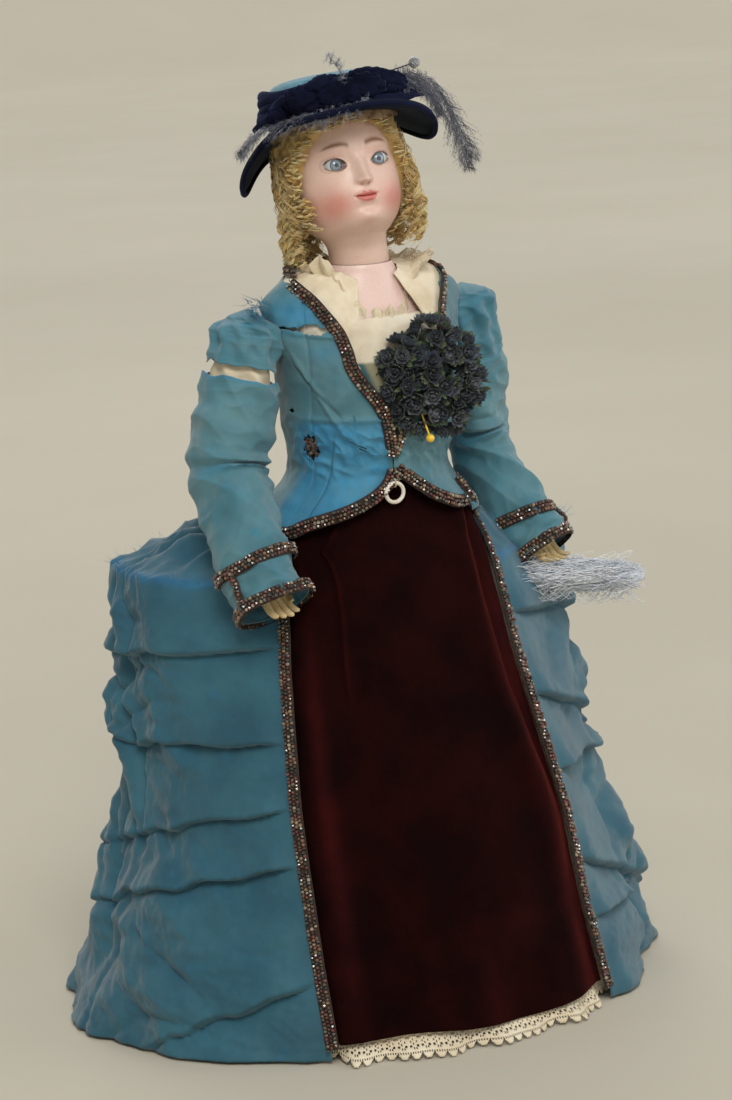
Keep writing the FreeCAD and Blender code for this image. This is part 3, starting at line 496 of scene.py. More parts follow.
def overskirt_point(u, v):
    """u goes from the right beads round the back to the left beads, v from the hem to the top."""
    z = lerp(1.5, 226, v)
    first, last = panel_angle(z, 0) - 0.02, panel_angle(z, 1) + 0.02
    span = TURN - (last - first)
    angle = first - u * span                  # runs clockwise from above, through the doll's right side
    side = 0 if u < 0.5 else 1
    wide = table(DRAPE, z)[0]
    turn = (u if side == 0 else 1 - u) * span
    reach = turn * wide
    near = ring_point(SKIRT, z, angle, 1.0)
    join = smooth(0.0, 0.42, turn)
    p = near.lerp(ring_point(DRAPE, z, angle), join)
    outward = V((p.x, p.y - 25, 0)).normalized()
    back = smooth(0.28, 0.42, min(u, 1 - u))
    out = drape_out(side, reach, z) * (1 - back) - 3.5 * join
    swing = (u - 0.5) * 4
    for centre, width, high in BACK_FOLDS:
        out += back * high * bump(swing, centre + 0.10 * math.sin(z * 0.02), width) * smooth(232, 150,
                z) * lerp(1, 0.7, z / 226)
    out += back * (3.4 * (ridges(swing * 30, z * 0.6, 3, 0.05) - 0.5) - 5 * bump(z, 128, 16) + 5 * bump(z,
            160, 26) - 4)
    out += back * 1.6 * (ridges(swing * 34 + z * 0.5, z * 0.8, 6, 0.11) - 0.5)
    # swags across the back, lowest in the middle
    tier = ((z + 26 * (1 - min(1.0, swing * swing))) / 44) % 1.0
    out += back * 7.0 * (math.sin(math.pi * tier) ** 0.6 - 0.5) * smooth(50, 90, z) * smooth(228, 205, z)
    hang = smooth(18, 2, z) * 3.0 * math.sin(angle * 11)
    p = p + outward * (out + hang)
    # the raw top edge stands up a little, then the silk runs in to the waistband
    lip = bump(v, 0.915, 0.016)
    p = p + outward * 1.5 * lip * join
    p.z += (3.5 + 4.0 * wobble(angle * 9, 0, 1, 1.0) + 2.5 * wobble(angle * 31, 4, 1, 1.0)) * lip * join
    inwards = smooth(0.915, 1.0, v) * join
    p = p.lerp(ring_point(SKIRT, 233, angle, 3.0), 0.80 * inwards)
    gathers = (5.5 * (ridges(p.x * 0.9, p.y * 0.9, 2, 0.09) - 0.5)
               + 2.2 * math.sin(angle * 19 + 2 * math.sin(angle * 7)))
    return p + V((0, 0, 1)) * gathers * 4 * inwards * (1 - inwards)


FINE = 1.35
nu, nv = int(430 * FINE), int(150 * FINE)
verts, faces = grid(nu, nv, overskirt_point)
shade = []
for j in range(nv + 1):
    for i in range(nu + 1):
        k = 0.93 + 0.14 * wobble(i * 0.05, j * 0.11, 3, 0.6)
        edge = bump(j / nv, 0.917, 0.007) * 0.8
        shade.append((k * (1 - edge * 0.3), k * (1 + edge * 0.2), k * (1 + edge * 0.7)))
drape = lined(piece("silk_overskirt", verts, faces, SILK, ROOT,
                    ["drape_right", "drape_left", "skirt_train", "underskirt"], shade), 0.45, SILK_SHADED_INSIDE)

# ---------------------------------------- bead bands
PHI = (1 + 5 ** 0.5) / 2
ICO = ([V(p).normalized() for p in ((-1, PHI, 0), (1, PHI, 0), (-1, -PHI, 0), (1, -PHI, 0), (0, -1, PHI),
                                    (0, 1, PHI),
                                    (0, -1, -PHI), (0, 1, -PHI), (PHI, 0, -1), (PHI, 0, 1), (-PHI, 0, -1),
                                    (-PHI, 0, 1))],
       [(0, 11, 5), (0, 5, 1), (0, 1, 7), (0, 7, 10), (0, 10, 11), (1, 5, 9), (5, 11, 4), (11, 10, 2),
        (10, 7, 6), (7, 1, 8),
        (3, 9, 4), (3, 4, 2), (3, 2, 6), (3, 6, 8), (3, 8, 9), (4, 9, 5), (2, 4, 11), (6, 2, 10),
        (8, 6, 7), (9, 8, 1)])
BEAD_COLOURS = [(0.055, 0.022, 0.015), (0.09, 0.030, 0.022), (0.14, 0.050, 0.032), (0.20, 0.095, 0.055),
                (0.26, 0.18, 0.10),
                (0.10, 0.085, 0.060), (0.030, 0.035, 0.030), (0.13, 0.028, 0.030), (0.05, 0.04, 0.03),
                (0.34, 0.28, 0.21)]


def even(path, step):
    """Points spaced evenly along a polyline of vectors."""
    out, carry = [path[0]], 0.0
    for a, b in zip(path, path[1:]):
        long = (b - a).length
        while long > 1e-6 and carry + step <= long:
            carry += step
            out.append(a.lerp(b, carry / long))
        carry -= long
    return out


def curve_through(points, count=60):
    """A smooth line through points (Catmull-Rom)."""
    pts = [V(p) for p in points]
    out = []
    for i in range(len(pts) - 1):
        p0, p1, p2, p3 = pts[max(i - 1, 0)], pts[i], pts[i + 1], pts[min(i + 2, len(pts) - 1)]
        steps = max(2, count // (len(pts) - 1))
        for k in range(steps):
            t = k / steps
            out.append(0.5 * ((2 * p1) + (p2 - p0) * t + (2 * p0 - 5 * p1 + 4 * p2 - p3) * t**2
                              + (3 * p1 - p0 - 3 * p2 + p3) * t**3))
    return out + [pts[-1]]


def bead_band(store, path, normal_at, rows=3, pitch=1.75, size=0.98, lift=1.2):
    """Rows of faceted beads on a dark braid along a path. normal_at(point) points away from the cloth."""
    pts = even(path, pitch)
    braid = []
    for i, p in enumerate(pts):
        ahead = (pts[min(i + 1, len(pts) - 1)] - pts[max(i - 1, 0)]).normalized()
        n = normal_at(p).normalized()
        side = ahead.cross(n).normalized()
        braid.append((p, side, n))
        for r in range(rows):
            shift = (r - (rows - 1) / 2) * pitch
            if rng.random() < 0.03:
                continue
            jitter = scatter() * 0.22
            c = p + side * shift + n * (lift + rng.uniform(-0.15,
                                                           0.25)) + ahead * (0.5 * pitch * (r % 2)) + jitter
            turn = Matrix.Rotation(rng.uniform(0, 6), 3, V((rng.random(), rng.random(),
                                                            rng.random() + 0.1)).normalized())
            s = size * rng.uniform(0.82, 1.08)
            axes = [turn @ V(a) * s for a in ((1, 0, 0), (0, 1, 0), (0, 0, 0.9))]
            dull = rng.uniform(0.7, 1.25)
            store.solid(c, axes, tuple(ch * dull for ch in rng.choice(BEAD_COLOURS)), ICO)
    half = rows * pitch * 0.5 + 0.4
    first = len(store.verts)
    for p, side, n in braid:
        store.verts += [p - side * half + n * 0.1, p - side * half * 0.5 + n * 0.9,
                        p + side * half * 0.5 + n * 0.9, p + side * half + n * 0.1]
        store.tint += [(0.05, 0.035, 0.025)] * 4
    cloth = ladder(first, len(braid) - 1, 4)
    store.matt += range(len(store.faces), len(store.faces) + len(cloth))
    store.faces += cloth


def body_normal(rows):
    def normal(p):
        wide, deep, shift = table(rows, p.z)
        return V((p.x / wide ** 2, (p.y - shift) / deep ** 2, 0))
    return normal


for side, node, offset in ((0, "skirt_trim_right", -2.0), (1, "skirt_trim_left", 2.0)):
    line = []
    for i in range(121):
        z = lerp(7.5, 243 if side == 0 else 248, i / 120)
        angle = panel_angle(z, side) + offset / table(SKIRT, z)[0]
        line.append(ring_point(SKIRT, z, angle, 1.7 + 0.5 * wobble(z * 0.05, side, 1, 1)))
    store = Strands()
    bead_band(store, line, body_normal(SKIRT))
    store.build(f"beads_{node}", BEADS, ROOT, [node], flat=True, slot="glass_beads")

# ---------------------------------------- head: one tilt for everything on it
PIVOT = V((0, 0, 358))
HEAD_TURN = (Matrix.Rotation(math.radians(-8), 3, "Z") @ Matrix.Rotation(math.radians(-9), 3, "X")
             @ Matrix.Rotation(math.radians(-4), 3, "Y"))


def tilt(p, weight=1.0):
    """Turns a point of the upright head to the way the doll holds it: a little up and to its right."""
    return p.lerp(PIVOT + HEAD_TURN @ (p - PIVOT) + V((-2.5, 0, -1.5)), weight)


SKULL = [(339, 8.5, 8.5, 0), (341, 12.0, 12.0, 0), (344, 13.3, 13.3, 0), (350, 13.6, 13.6, 0),
         (355, 13.7, 13.8, -0.3),
         (359, 14.6, 16.2, -1.2), (362, 17.2, 20.3, -3.2), (366, 20.2, 23.6, -3.6),
         (372, 22.6, 26.0, -3.0), (380, 24.0, 27.4, -1.5),
         (390, 24.3, 27.9, 0), (400, 24.1, 27.6, 1), (410, 22.0, 25.5, 2), (418, 18.0, 21, 3),
         (424, 10.5, 12.5, 3.3), (426, 1, 1, 3.5)]
EYE_X, EYE_Z = 10.2, 391.5                    # where the eyelids' almond is centred
BALL_X, BALL_Y, BALL_R = EYE_X - 0.3, -17.75, 6.6
SOCKET_R, LID_R = 5.6, 7.05                   # the head's wall behind the ball, and its lids in front of it
PUPIL_R, IRIS_R, LIMBUS_R = 1.05, 2.45, 2.85
EYE_RINGS, EYE_SPOKES = 60, 72


def eyelid(x, z):
    """Below 1 inside the almond of the open eye."""
    dx, dz = (abs(x) - EYE_X) / 4.55, z - EYE_Z - 0.07 * (abs(x) - EYE_X)
    if abs(dx) >= 1:
        return 2.0 + abs(dx)
    half = (2.55 if dz > 0 else 2.0) * (1 - dx * dx) ** 0.74 + 0.01
    return abs(dz) / half


def face_out(x, z):
    """The relief of the face on the front of the skull, in millimetres outwards."""
    a = abs(x)
    bridge = smooth(397.5, 383.8, z) * smooth(381.2, 383.2, z)
    nose = 4.4 * bridge * math.exp(-(x / lerp(2.0, 2.5, smooth(395, 385, z))) ** 2) + 1.0 * bump(z, 384.3,
            1.7) * bump(x, 0, 2.6)
    wings = 1.15 * bump(a, 2.9, 1.1) * bump(z, 383.4, 1.2)
    nostril = -0.8 * bump(a, 1.5, 0.6) * bump(z, 381.9, 0.6)
    socket = -1.7 * math.exp(-((a - EYE_X) / 5.4) ** 2 - ((z - 392.2) / 4.2) ** 2) - 0.9 * bump(a, 4.6,
            2.0) * bump(z, 392, 4)
    lid = 0.75 * math.exp(-((eyelid(x, z) - 1.25) / 0.22) ** 2)
    brow = 0.9 * bump(a, 9, 6) * bump(z, 399, 2.6)
    cheek = 1.5 * bump(a, 13.5, 7) * bump(z, 378, 7.5)
    wide = smooth(5.4, 3.2, a)
    upper = 1.35 * wide * bump(z, 377.7 + 0.35 * bump(a, 1.3, 0.9) - 0.10 * a, 0.95)
    lower = 1.45 * smooth(4.6, 1.6, a) * bump(z, 374.9, 1.15)
    seam = -0.95 * smooth(5.8, 4.6, a) * bump(z, 376.35 - 0.16 * bump(a, 1.6, 1.4) + 0.06 * a, 0.32)
    corner = -0.5 * bump(a, 5.3, 0.8) * bump(z, 376.6, 0.8)
    philtrum = -0.35 * bump(x, 0, 0.7) * bump(z, 380, 1.4)
    dip = -0.9 * bump(x, 0, 5) * bump(z, 371.6, 1.6)
    chin = 2.9 * bump(x, 0, 5.0) * bump(z, 366.8, 3.2) - 1.9 * bump(z, 360.4, 2.3) * smooth(18, 8, a)
    mouth_mound = 1.1 * bump(x, 0, 6) * bump(z, 377, 5)
    jaw = -0.8 * bump(a, 15, 5) * bump(z, 364, 5)
    return (nose + wings + nostril + socket + lid + brow + cheek + upper + lower + seam + corner + philtrum
            + dip + chin + mouth_mound + jaw)


def face_paint(x, z, front):
    """Painted colour of the bisque: cheeks, lips, brows and lashes."""
    skin = V((0.74, 0.53, 0.45))
    a = abs(x)
    if front:
        blush = 0.84 * math.exp(-((a - 14.0) / 7.4) ** 2 - ((z - 374.0) / 7.2) ** 2)
        skin = skin.lerp(V((0.60, 0.20, 0.16)), min(0.76, blush))
        skin = skin.lerp(V((0.76, 0.42, 0.38)), 0.20 * bump(x, 0, 4) * bump(z, 366, 4) + 0.25 * bump(a,
                EYE_X, 5) * bump(z, 396, 2))
        top = 377.95 + 0.55 * bump(a, 1.4, 0.9) - 0.25 * bump(x, 0, 0.6) - 0.06 * a * a * 0.6
        low = 373.9 + 0.085 * a * a
        lips = smooth(5.2, 4.4, a) * smooth(top + 0.45, top - 0.1, z) * smooth(low - 0.5, low + 0.1, z)
        skin = skin.lerp(V((0.62, 0.16, 0.15)), 0.85 * lips)
        skin = skin.lerp(V((0.32, 0.05, 0.05)), 0.9 * smooth(5.2, 4.2, a) * bump(z,
                376.35 - 0.16 * bump(a, 1.6, 1.4) + 0.06 * a, 0.30))
        arch = 399.0 + 1.5 * (1 - ((a - 9.0) / 6.2) ** 2)
        brow = smooth(3.2, 4.6, a) * smooth(16.6, 13.5, a) * bump(z, arch, 0.80 * smooth(17, 8, a) + 0.34)
        skin = skin.lerp(V((0.24, 0.115, 0.05)), 0.90 * brow)
        edge = eyelid(x, z)
        rim = math.exp(-((edge - 1.13) / 0.23) ** 2)
        skin = skin.lerp(V((0.045, 0.028, 0.022)), 0.97 * rim * (1.0 if z > EYE_Z else 0.75))
        if 1.1 < edge < 2.6:
            ray = math.atan2(z - EYE_Z, a - EYE_X)
            stroke = smooth(0.35, 0.8, math.sin(ray * 26))
            skin = skin.lerp(V((0.11, 0.06, 0.035)), 0.85 * stroke * smooth(1.95 if z > EYE_Z else 1.75,
                    1.15, edge))
        skin = skin.lerp(V((0.60, 0.33, 0.26)), 0.35 * bump(z, EYE_Z + 4.1 - 0.05 * (a - 10) ** 2,
                                                            0.35) * smooth(5, 7, a) * smooth(16, 14, a))
        skin = skin.lerp(V((0.45, 0.12, 0.10)), 0.7 * bump(a, 1.6, 0.6) * bump(z, 382.0, 0.5))
        # painted shade: the wall behind the eyeball is dark
        if edge < 1:
            skin = V((0.20, 0.12, 0.10))
    return skin


NU, NV = ((440, 350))


def head_place(u, v):
    t = 2 * u - 1
    angle = math.pi * (0.42 * t + 0.58 * t ** 3)
    z = (339 + 23 * v / 0.14 if v < 0.14 else
         362 + 44 * (v - 0.14) / 0.72 if v < 0.86 else
         406 + 20 * (v - 0.86) / 0.14)
    p = ring_point(SKULL, z, angle)
    return p, angle, z


verts, tints = [], []
for j in range(NV + 1):
    for i in range(NU):
        p, angle, z = head_place(i / NU, j / NV)
        front = abs(angle) < 1.45 and z > 357
        side = smooth(1.5, 1.1, abs(angle)) * smooth(357, 362, z)
        out = face_out(p.x, z) * side if front else 0.0
        ear = 2.4 * math.exp(-((abs(angle) - 1.62) / 0.11) ** 2 - ((z - 386) / 6.5) ** 2)
        ear -= 1.2 * math.exp(-((abs(angle) - 1.60) / 0.05) ** 2 - ((z - 387) / 3.2) ** 2)
        normal = V((p.x, p.y + 3, 0)).normalized()
        q = p + normal * (out + ear)
        colour = face_paint(q.x, z, front)
        if front and 380 < z < 403 and q.y < -8:
            ball = V((math.copysign(BALL_X, q.x), BALL_Y, EYE_Z))
            away = q - ball
            if eyelid(q.x, z) < 1:
                q = ball + away.normalized() * SOCKET_R
            elif away.length < LID_R:
                q = ball + away.normalized() * LID_R
        # a black dot for the pierced ear hole: painted shade of the hole
        if bump(abs(angle), 1.52, 0.03) * bump(z, 377.5, 0.6) > 0.4:
            colour = V((0.02, 0.015, 0.01))
        # painted shade on the neck where it sits inside the shoulder plate
        if z < 346.6:
            colour = colour * 0.55
        verts.append(tilt(q, smooth(347, 364, z)))
        tints.append(tuple(colour * (1 + 0.03 * wobble(p.x, z, p.y, 0.15))))
faces = ladder(0, NV, NU, True)
n = Nodes("painted_bisque", rough=0.40, Specular_IOR_Level=0.45, Subsurface_Weight=0.12,
          Subsurface_Scale=0.002, Coat_Weight=0.08,
          Coat_Roughness=0.3)
speck = n.ramp(n.noise(1500, 3), [(0.30, (0.93, 0.90, 0.88)), (0.55, (1, 1, 1))])
n.link(n.mix(1.0, n.tint(), speck, "MULTIPLY"), "Base Color")
n.link(n.maths("ADD", n.maths("MULTIPLY", n.noise(250), 0.14), 0.33), "Roughness")
n.bump(n.noise(1400, 3), 0.07, 0.0002)
BISQUE = n.mat
piece("bisque_head", verts, faces, BISQUE, HEAD, ["head"], tints)

eye_nodes = Nodes("glass_eye", rough=0.06, Specular_IOR_Level=0.6, Coat_Weight=1.0)
eye_nodes.link(eye_nodes.mix(eye_nodes.maths("MULTIPLY", eye_nodes.noise(1500, 3), 0.25), eye_nodes.tint(),
                             (0.5, 0.55, 0.6)), "Base Color")
for side, name in ((-1, "right"), (1, "left")):
    middle = V((side * BALL_X, BALL_Y, EYE_Z))
    gaze = V((side * 0.03, -1, 0.03)).normalized()
    gx = V((0, 0, 1)).cross(gaze).normalized()
    gz = gaze.cross(gx)
    verts, tints = [], []
    for j in range(EYE_RINGS + 1):
        off = math.pi * 0.5 * (j / EYE_RINGS) ** 1.2
        for i in range(EYE_SPOKES):
            a = TURN * i / EYE_SPOKES
            d = gaze * math.cos(off) + (gx * math.cos(a) + gz * math.sin(a)) * math.sin(off)
            r = BALL_R * math.sin(off)
            verts.append(tilt(middle + d * (BALL_R + 0.3 * smooth(2.9, 1.0, r))))
            thread = 0.5 + 0.5 * math.sin(a * 23) * math.sin(a * 7 + 1)
            if r < PUPIL_R:
                colour = (0.006, 0.006, 0.008)
            elif r < IRIS_R:
                light = lerp(0.55, 1.25, thread) * lerp(1.25, 0.75, (r - PUPIL_R) / 1.4)
                colour = (0.19 * light, 0.255 * light, 0.33 * light)
            elif r < LIMBUS_R:
                colour = (0.03, 0.045, 0.07)
            else:
                # the white darkens away from the iris: painted shade under the lids
                grey = 0.52 - 0.16 * smooth(3.0, 4.8, r)
                colour = (grey, grey * 0.99, grey * 0.97)
            tints.append(colour)
    faces = [(a, d, c, b) for a, b, c, d in ladder(0, EYE_RINGS, EYE_SPOKES, True)]
    piece(f"glass_eye_{name}", verts, faces, eye_nodes.mat, HEAD, [f"eye_{name}"], tints)

# the shoulder plate, seen between the collar's edges
PLATE = [(322, 35.5, 26.5, 0.5), (328, 33.5, 23.5, 1), (333, 29.0, 20.6, 1.4), (337, 24.2, 18.8, 1.2),
         (340, 20.0, 17.3, 0.7),
         (343, 16.8, 16.0, 0.2), (345.4, 15.3, 15.3, 0), (346.6, 14.7, 14.7, 0)]


RIM_Z, RIM_R, NECK_R = 346.6, 14.7, 13.3      # the plate's top edge, and the neck that turns inside it


def plate_point(u, v):
    return ring_point(PLATE, lerp(322, RIM_Z, v), TURN * u)


def seam_point(u, v):
    """The narrow step between the rim and the neck; its dark tint is painted shade in the gap."""
    r = lerp(RIM_R, NECK_R, v)
    return V((math.cos(TURN * u) * r, math.sin(TURN * u) * r, RIM_Z - 1.8 * v * v))


verts, faces = grid(120, 50, plate_point, wrap=True)
piece("bisque_shoulder_plate", verts, faces, BISQUE, ROOT, ["shoulder_plate"],
      [(0.80, 0.60, 0.545)] * len(verts))
verts, faces = grid(96, 6, seam_point, wrap=True)
# painted shade: the step between rim and neck is tinted dark
piece("neck_seam", verts, faces, BISQUE, ROOT, [], [(0.30, 0.17, 0.13)] * len(verts))

# ---------------------------------------- mohair
GOLD = [(0.86, 0.56, 0.17), (0.92, 0.65, 0.25), (0.97, 0.76, 0.38), (0.70, 0.42, 0.11), (1.0, 0.84, 0.50)]


def hair_out(angle, z):
    """How far the cap of hair stands off the skull."""
    lumps = 2.6 * abs(wobble(angle * 7, z * 0.16, 3, 1.0)) + 1.2 * wobble(angle * 18, z * 0.35, 5, 1.0)
    return 2.6 + lumps + 1.4 * smooth(380, 392, z)


HAIRLINE = [(0, 410.5), (0.3, 409.5), (0.6, 406.5), (0.85, 401.5), (1.0, 396.5), (1.15, 390), (1.3, 383),
            (1.45, 376), (1.6, 368), (1.8, 362),
            (3.2, 361)]


def hairline(angle):
    """The lowest height of the cap of hair at an angle; the left side comes further forward."""
    a = abs(angle) + (0.16 * smooth(0.5, 0.9, angle) if angle > 0 else 0)
    return table([(x, z) for x, z in HAIRLINE], a)[0]


def cap_point(u, v):
    """The cap of hair under the curls, tucked in along the hairline."""
    angle = TURN * (u - 0.5)
    z = lerp(hairline(angle), 425.5, v)
    tuck = smooth(0.0, 0.10, v)
    return tilt(ring_point(SKULL, z, angle, hair_out(angle, z) * tuck - 0.4 * (1 - tuck)))


verts, faces = grid(260, 110, cap_point, wrap=True)
tints = [tuple(c * (0.70 + 0.30 * abs(wobble(i * 0.9, (i // 260) * 0.12, 1,
                                             1.0))) for c in GOLD[i % 2]) for i in range(len(verts))]
hair = Strands()
hair.verts, hair.faces, hair.tint = verts, faces, tints


def lock(path, coil, turns, threads, radius, tone, squeeze=1.0):
    """A curl: threads winding together round a path."""
    base = rng.uniform(0, TURN)
    hand = rng.choice((-1, 1))
    for k in range(threads):
        pts, phase = [], base + rng.uniform(-0.9, 0.9)
        r0 = coil * rng.uniform(0.65, 1.12)
        steps = max(10, int(turns * 10))
        line = curve_through(path, steps)
        for i, p in enumerate(line):
            t = i / (len(line) - 1)
            a = phase + hand * turns * TURN * t
            r = r0 * lerp(0.5, 1.0, smooth(0, 0.25, t)) * lerp(1.0, squeeze, t)
            pts.append(tilt(p + V((math.cos(a) * r, math.sin(a) * r, rng.uniform(-0.2, 0.2)))))
        shade = rng.uniform(0.75, 1.2)
        c = GOLD[(tone + rng.randrange(2)) % 5]
        hair.tube(pts, radius * rng.uniform(0.7, 1.2), tuple(x * shade * 0.80 for x in c), 4, 0.5,
                  tuple(min(1, x * shade * 1.15) for x in c))


for i in range(150):                                   # frizz round the forehead and temples
    angle = rng.uniform(-1.12, 1.12)
    z = hairline(angle) + rng.uniform(0.3, 8)
    p = ring_point(SKULL, z, angle, rng.uniform(2.5, 5.2))
    drop = ring_point(SKULL, z - rng.uniform(0.5, 2.6), angle + rng.uniform(-0.10, 0.10),
                      rng.uniform(2.2, 4.4))
    lock([p, p.lerp(drop, 0.5) + V((0, -1.0, 0)), drop], rng.uniform(1.1, 2.1), rng.uniform(1.2, 2.6), 5,
         0.22, rng.randrange(5))
for i in range(150):                                   # small curls down the cheeks, over the cap
    side = rng.choice((-1, 1))
    angle = side * rng.uniform(1.12, 1.75)
    z = rng.uniform(366, 400)
    p = ring_point(SKULL, z, angle, rng.uniform(2.0, 5.0))
    drop = ring_point(SKULL, z - rng.uniform(3.0, 8.0), angle + rng.uniform(-0.12, 0.12),
                      rng.uniform(2.2, 5.2))
    lock([p, p.lerp(drop, 0.5) + V((side * 0.8, -0.8, 0)), drop], rng.uniform(1.3, 2.5),
         rng.uniform(1.3, 2.4), 6, 0.22, rng.randrange(5))
for side in (-1, 1):                         # ringlets in front of and behind the ears, down to the collar
    for i in range(40):
        back = rng.random() ** 0.8
        angle = side * lerp(1.36 if side < 0 else 1.06, 2.9, back)
        top = ring_point(SKULL, rng.uniform(388, 404), angle, rng.uniform(3, 5.5))
        mid = ring_point(SKULL, 374, angle + rng.uniform(-0.06, 0.06),
                         rng.uniform(4.0, 7.5) + (2.5 if side > 0 else 0))
        low_z = rng.uniform(352, 360) - (3 if side < 0 else 0)
        spread = (rng.uniform(25, 31.5) if abs(angle) < 2.2 else rng.uniform(22,
                29)) + (2.5 if side > 0 else 0)
        low = V((math.sin(angle) * spread, 2 - math.cos(angle) * spread * 0.9, low_z))
        lock([top, mid, low.lerp(mid, 0.45) + V((side * 1.2, 0, 0)), low], rng.uniform(2.0, 3.4),
             rng.uniform(3.0, 5.2), 12, 0.23,
             rng.randrange(5), rng.uniform(0.5, 1.0))
for i in range(300):                                   # fine loose waves over the locks
    angle = rng.choice((-1, 1)) * rng.uniform(1.05, 3.1)
    angle = min(angle, -1.38) if angle < 0 else angle
    a = ring_point(SKULL, rng.uniform(385, 408), angle, rng.uniform(4, 6.5))
    b = ring_point(SKULL, 372, angle + rng.uniform(-0.1, 0.1), rng.uniform(5, 9))
    c = V((math.sin(angle) * rng.uniform(24, 32), 2 - math.cos(angle) * rng.uniform(22, 30),
           rng.uniform(351, 366)))
    lock([a, b, c], rng.uniform(1.2, 2.8), rng.uniform(3, 6), 1, 0.13, rng.randrange(5))
hair.build("mohair_curls", MOHAIR, HEAD, ["wig"], slot="mohair")

# ---------------------------------------- hat
def brim_drop(angle):
    """How far the brim's edge droops: most behind the right ear, less at the left and the back."""
    droop = 25 * bump(angle, -2.05, 0.62) + 8 * bump(angle, -1.3, 0.45) + 15 * bump(angle, 1.50,
            0.62) + 5 * bump(abs(angle), math.pi, 0.7)
    return droop + 0.8 * bump(angle, 0.1, 0.8)


def brim_point(u, v, under=0.0):
    """u goes round the brim, v from the crown to the edge."""
    angle = TURN * (u - 0.5)
    r = lerp(20.5, 46.5 + 1.2 * math.sin(3 * angle), v)
    wavy = 0.8 * math.sin(5 * angle + 1) * v
    z = 413.5 - 0.5 * v - brim_drop(angle) * v ** 1.6 + wavy - under
    roll = 2.6 * smooth(0.86, 1.0, v)
    shrink = 1 - 0.06 * bump(angle, -1.75, 0.7) * v
    return tilt(V((math.sin(angle) * r * shrink, 2.5 - math.cos(angle) * (r + 1.5) * shrink,
                   z + roll * bump(angle, 0, 1.2))))


verts, faces = grid(180, 26, brim_point, wrap=True)
brim = lined(piece("hat_brim_felt", verts, faces, FELT, HEAD, ["hat_brim"]), 1.5,
             FELT_UNDER)
brim.modifiers["thickness"].material_offset_rim = 0
edge = Strands()
edge.tube([brim_point(i / 160, 1.0, 0.6) for i in range(161)], 1.25, WHITE, 8, 1.0)
edge.build("hat_brim_binding", NAVY, HEAD)

CROWN = [(412.5, 29, 32, 3), (420, 28, 31, 3), (428, 26, 29, 3), (431.5, 23, 26, 3), (433, 17, 20, 3),
         (433.6, 8, 9, 3), (433.8, 0.6, 0.6, 3)]


def crown_point(u, v):
    z = table([(0, 415.5), (0.45, 428), (0.7, 432.2), (1, 433.8)], v)[0]
    return tilt(ring_point(CROWN, z, TURN * u, 0.5 * wobble(u * 20, v * 9, 0, 1)))


verts, faces = grid(120, 50, crown_point, wrap=True)
piece("hat_crown_weave", verts, faces, TEAL, HEAD, ["hat_crown"])

velvet_bits = Strands()


def ribbon_loop(path, width, lean, puffy=1.0):
    """A velvet ribbon with a rolled middle along a path."""
    line = curve_through(path, 26)
    rows = 9
    first = len(velvet_bits.verts)
    for i, p in enumerate(line):
        t = i / (len(line) - 1)
        ahead = (line[min(i + 1, len(line) - 1)] - line[max(i - 1, 0)]).normalized()
        side = ahead.cross(lean).normalized()
        n = side.cross(ahead)
        w = width * (0.45 + 0.55 * math.sin(math.pi * min(max(t, 0.08), 0.92)))
        for k in range(rows):
            s = k / (rows - 1) * 2 - 1
            q = p + side * s * w * 0.5 + n * (puffy * 2.6 * (1 - s * s) + 0.7 * wobble(p.x + s * 3, p.z,
                    p.y + k, 0.5))
            velvet_bits.verts.append(tilt(q))
            velvet_bits.tint.append((1, 1, 1))
    velvet_bits.faces += ladder(first, len(line) - 1, rows)


for k in range(5):                                     # folds of velvet wrapped round the crown
    start = rng.uniform(0, 6)
    ring_line = []
    for i in range(41):
        a = start + TURN * i / 40
        ring_line.append(V((math.sin(a) * (30.2 - k * 0.55), 3 - math.cos(a) * (33 - k * 0.6),
                            416.6 + k * 2.6 + 1.2 * math.sin(a * 3 + k * 2))))
    first = len(velvet_bits.verts)
    for p in ring_line:
        out = V((p.x, p.y - 3, 0)).normalized()
        for m in range(7):
            b = math.pi * m / 6
            velvet_bits.verts.append(tilt(p + out * (math.sin(b) * 2.3 + 0.5 * wobble(p.x, p.y, k,
                    0.3)) + V((0, 0, -math.cos(b) * 2.4))))
            velvet_bits.tint.append((1, 1, 1))
    velvet_bits.faces += ladder(first, len(ring_line) - 1, 7)
UPWARD = V((0, -0.45, 1))


def puff(centre, size, turn=0.0, seed=0.0):
    """A crumpled handful of velvet."""
    first, rows, cols = len(velvet_bits.verts), 26, 40
    spin = Matrix.Rotation(turn, 3, "Y")
    for j in range(rows + 1):
        for i in range(cols):
            d = V((math.cos(math.pi * j / rows), math.sin(math.pi * j / rows) * math.cos(TURN * i / cols),
                   math.sin(math.pi * j / rows) * math.sin(TURN * i / cols)))
            fold = 0.30 * ridges(d.x * 6 + seed, d.y * 9, d.z * 7, 0.28) + 0.14 * wobble(d.x * 5,
                    d.y * 7 + seed, d.z * 7, 0.8) - 0.15
            q = V((d.x * size[0], d.y * size[1], d.z * size[2])) * (1 + fold)
            velvet_bits.verts.append(tilt(V(centre) + spin @ q))
            velvet_bits.tint.append((1, 1, 1))
    velvet_bits.faces += ladder(first, rows, cols, True)


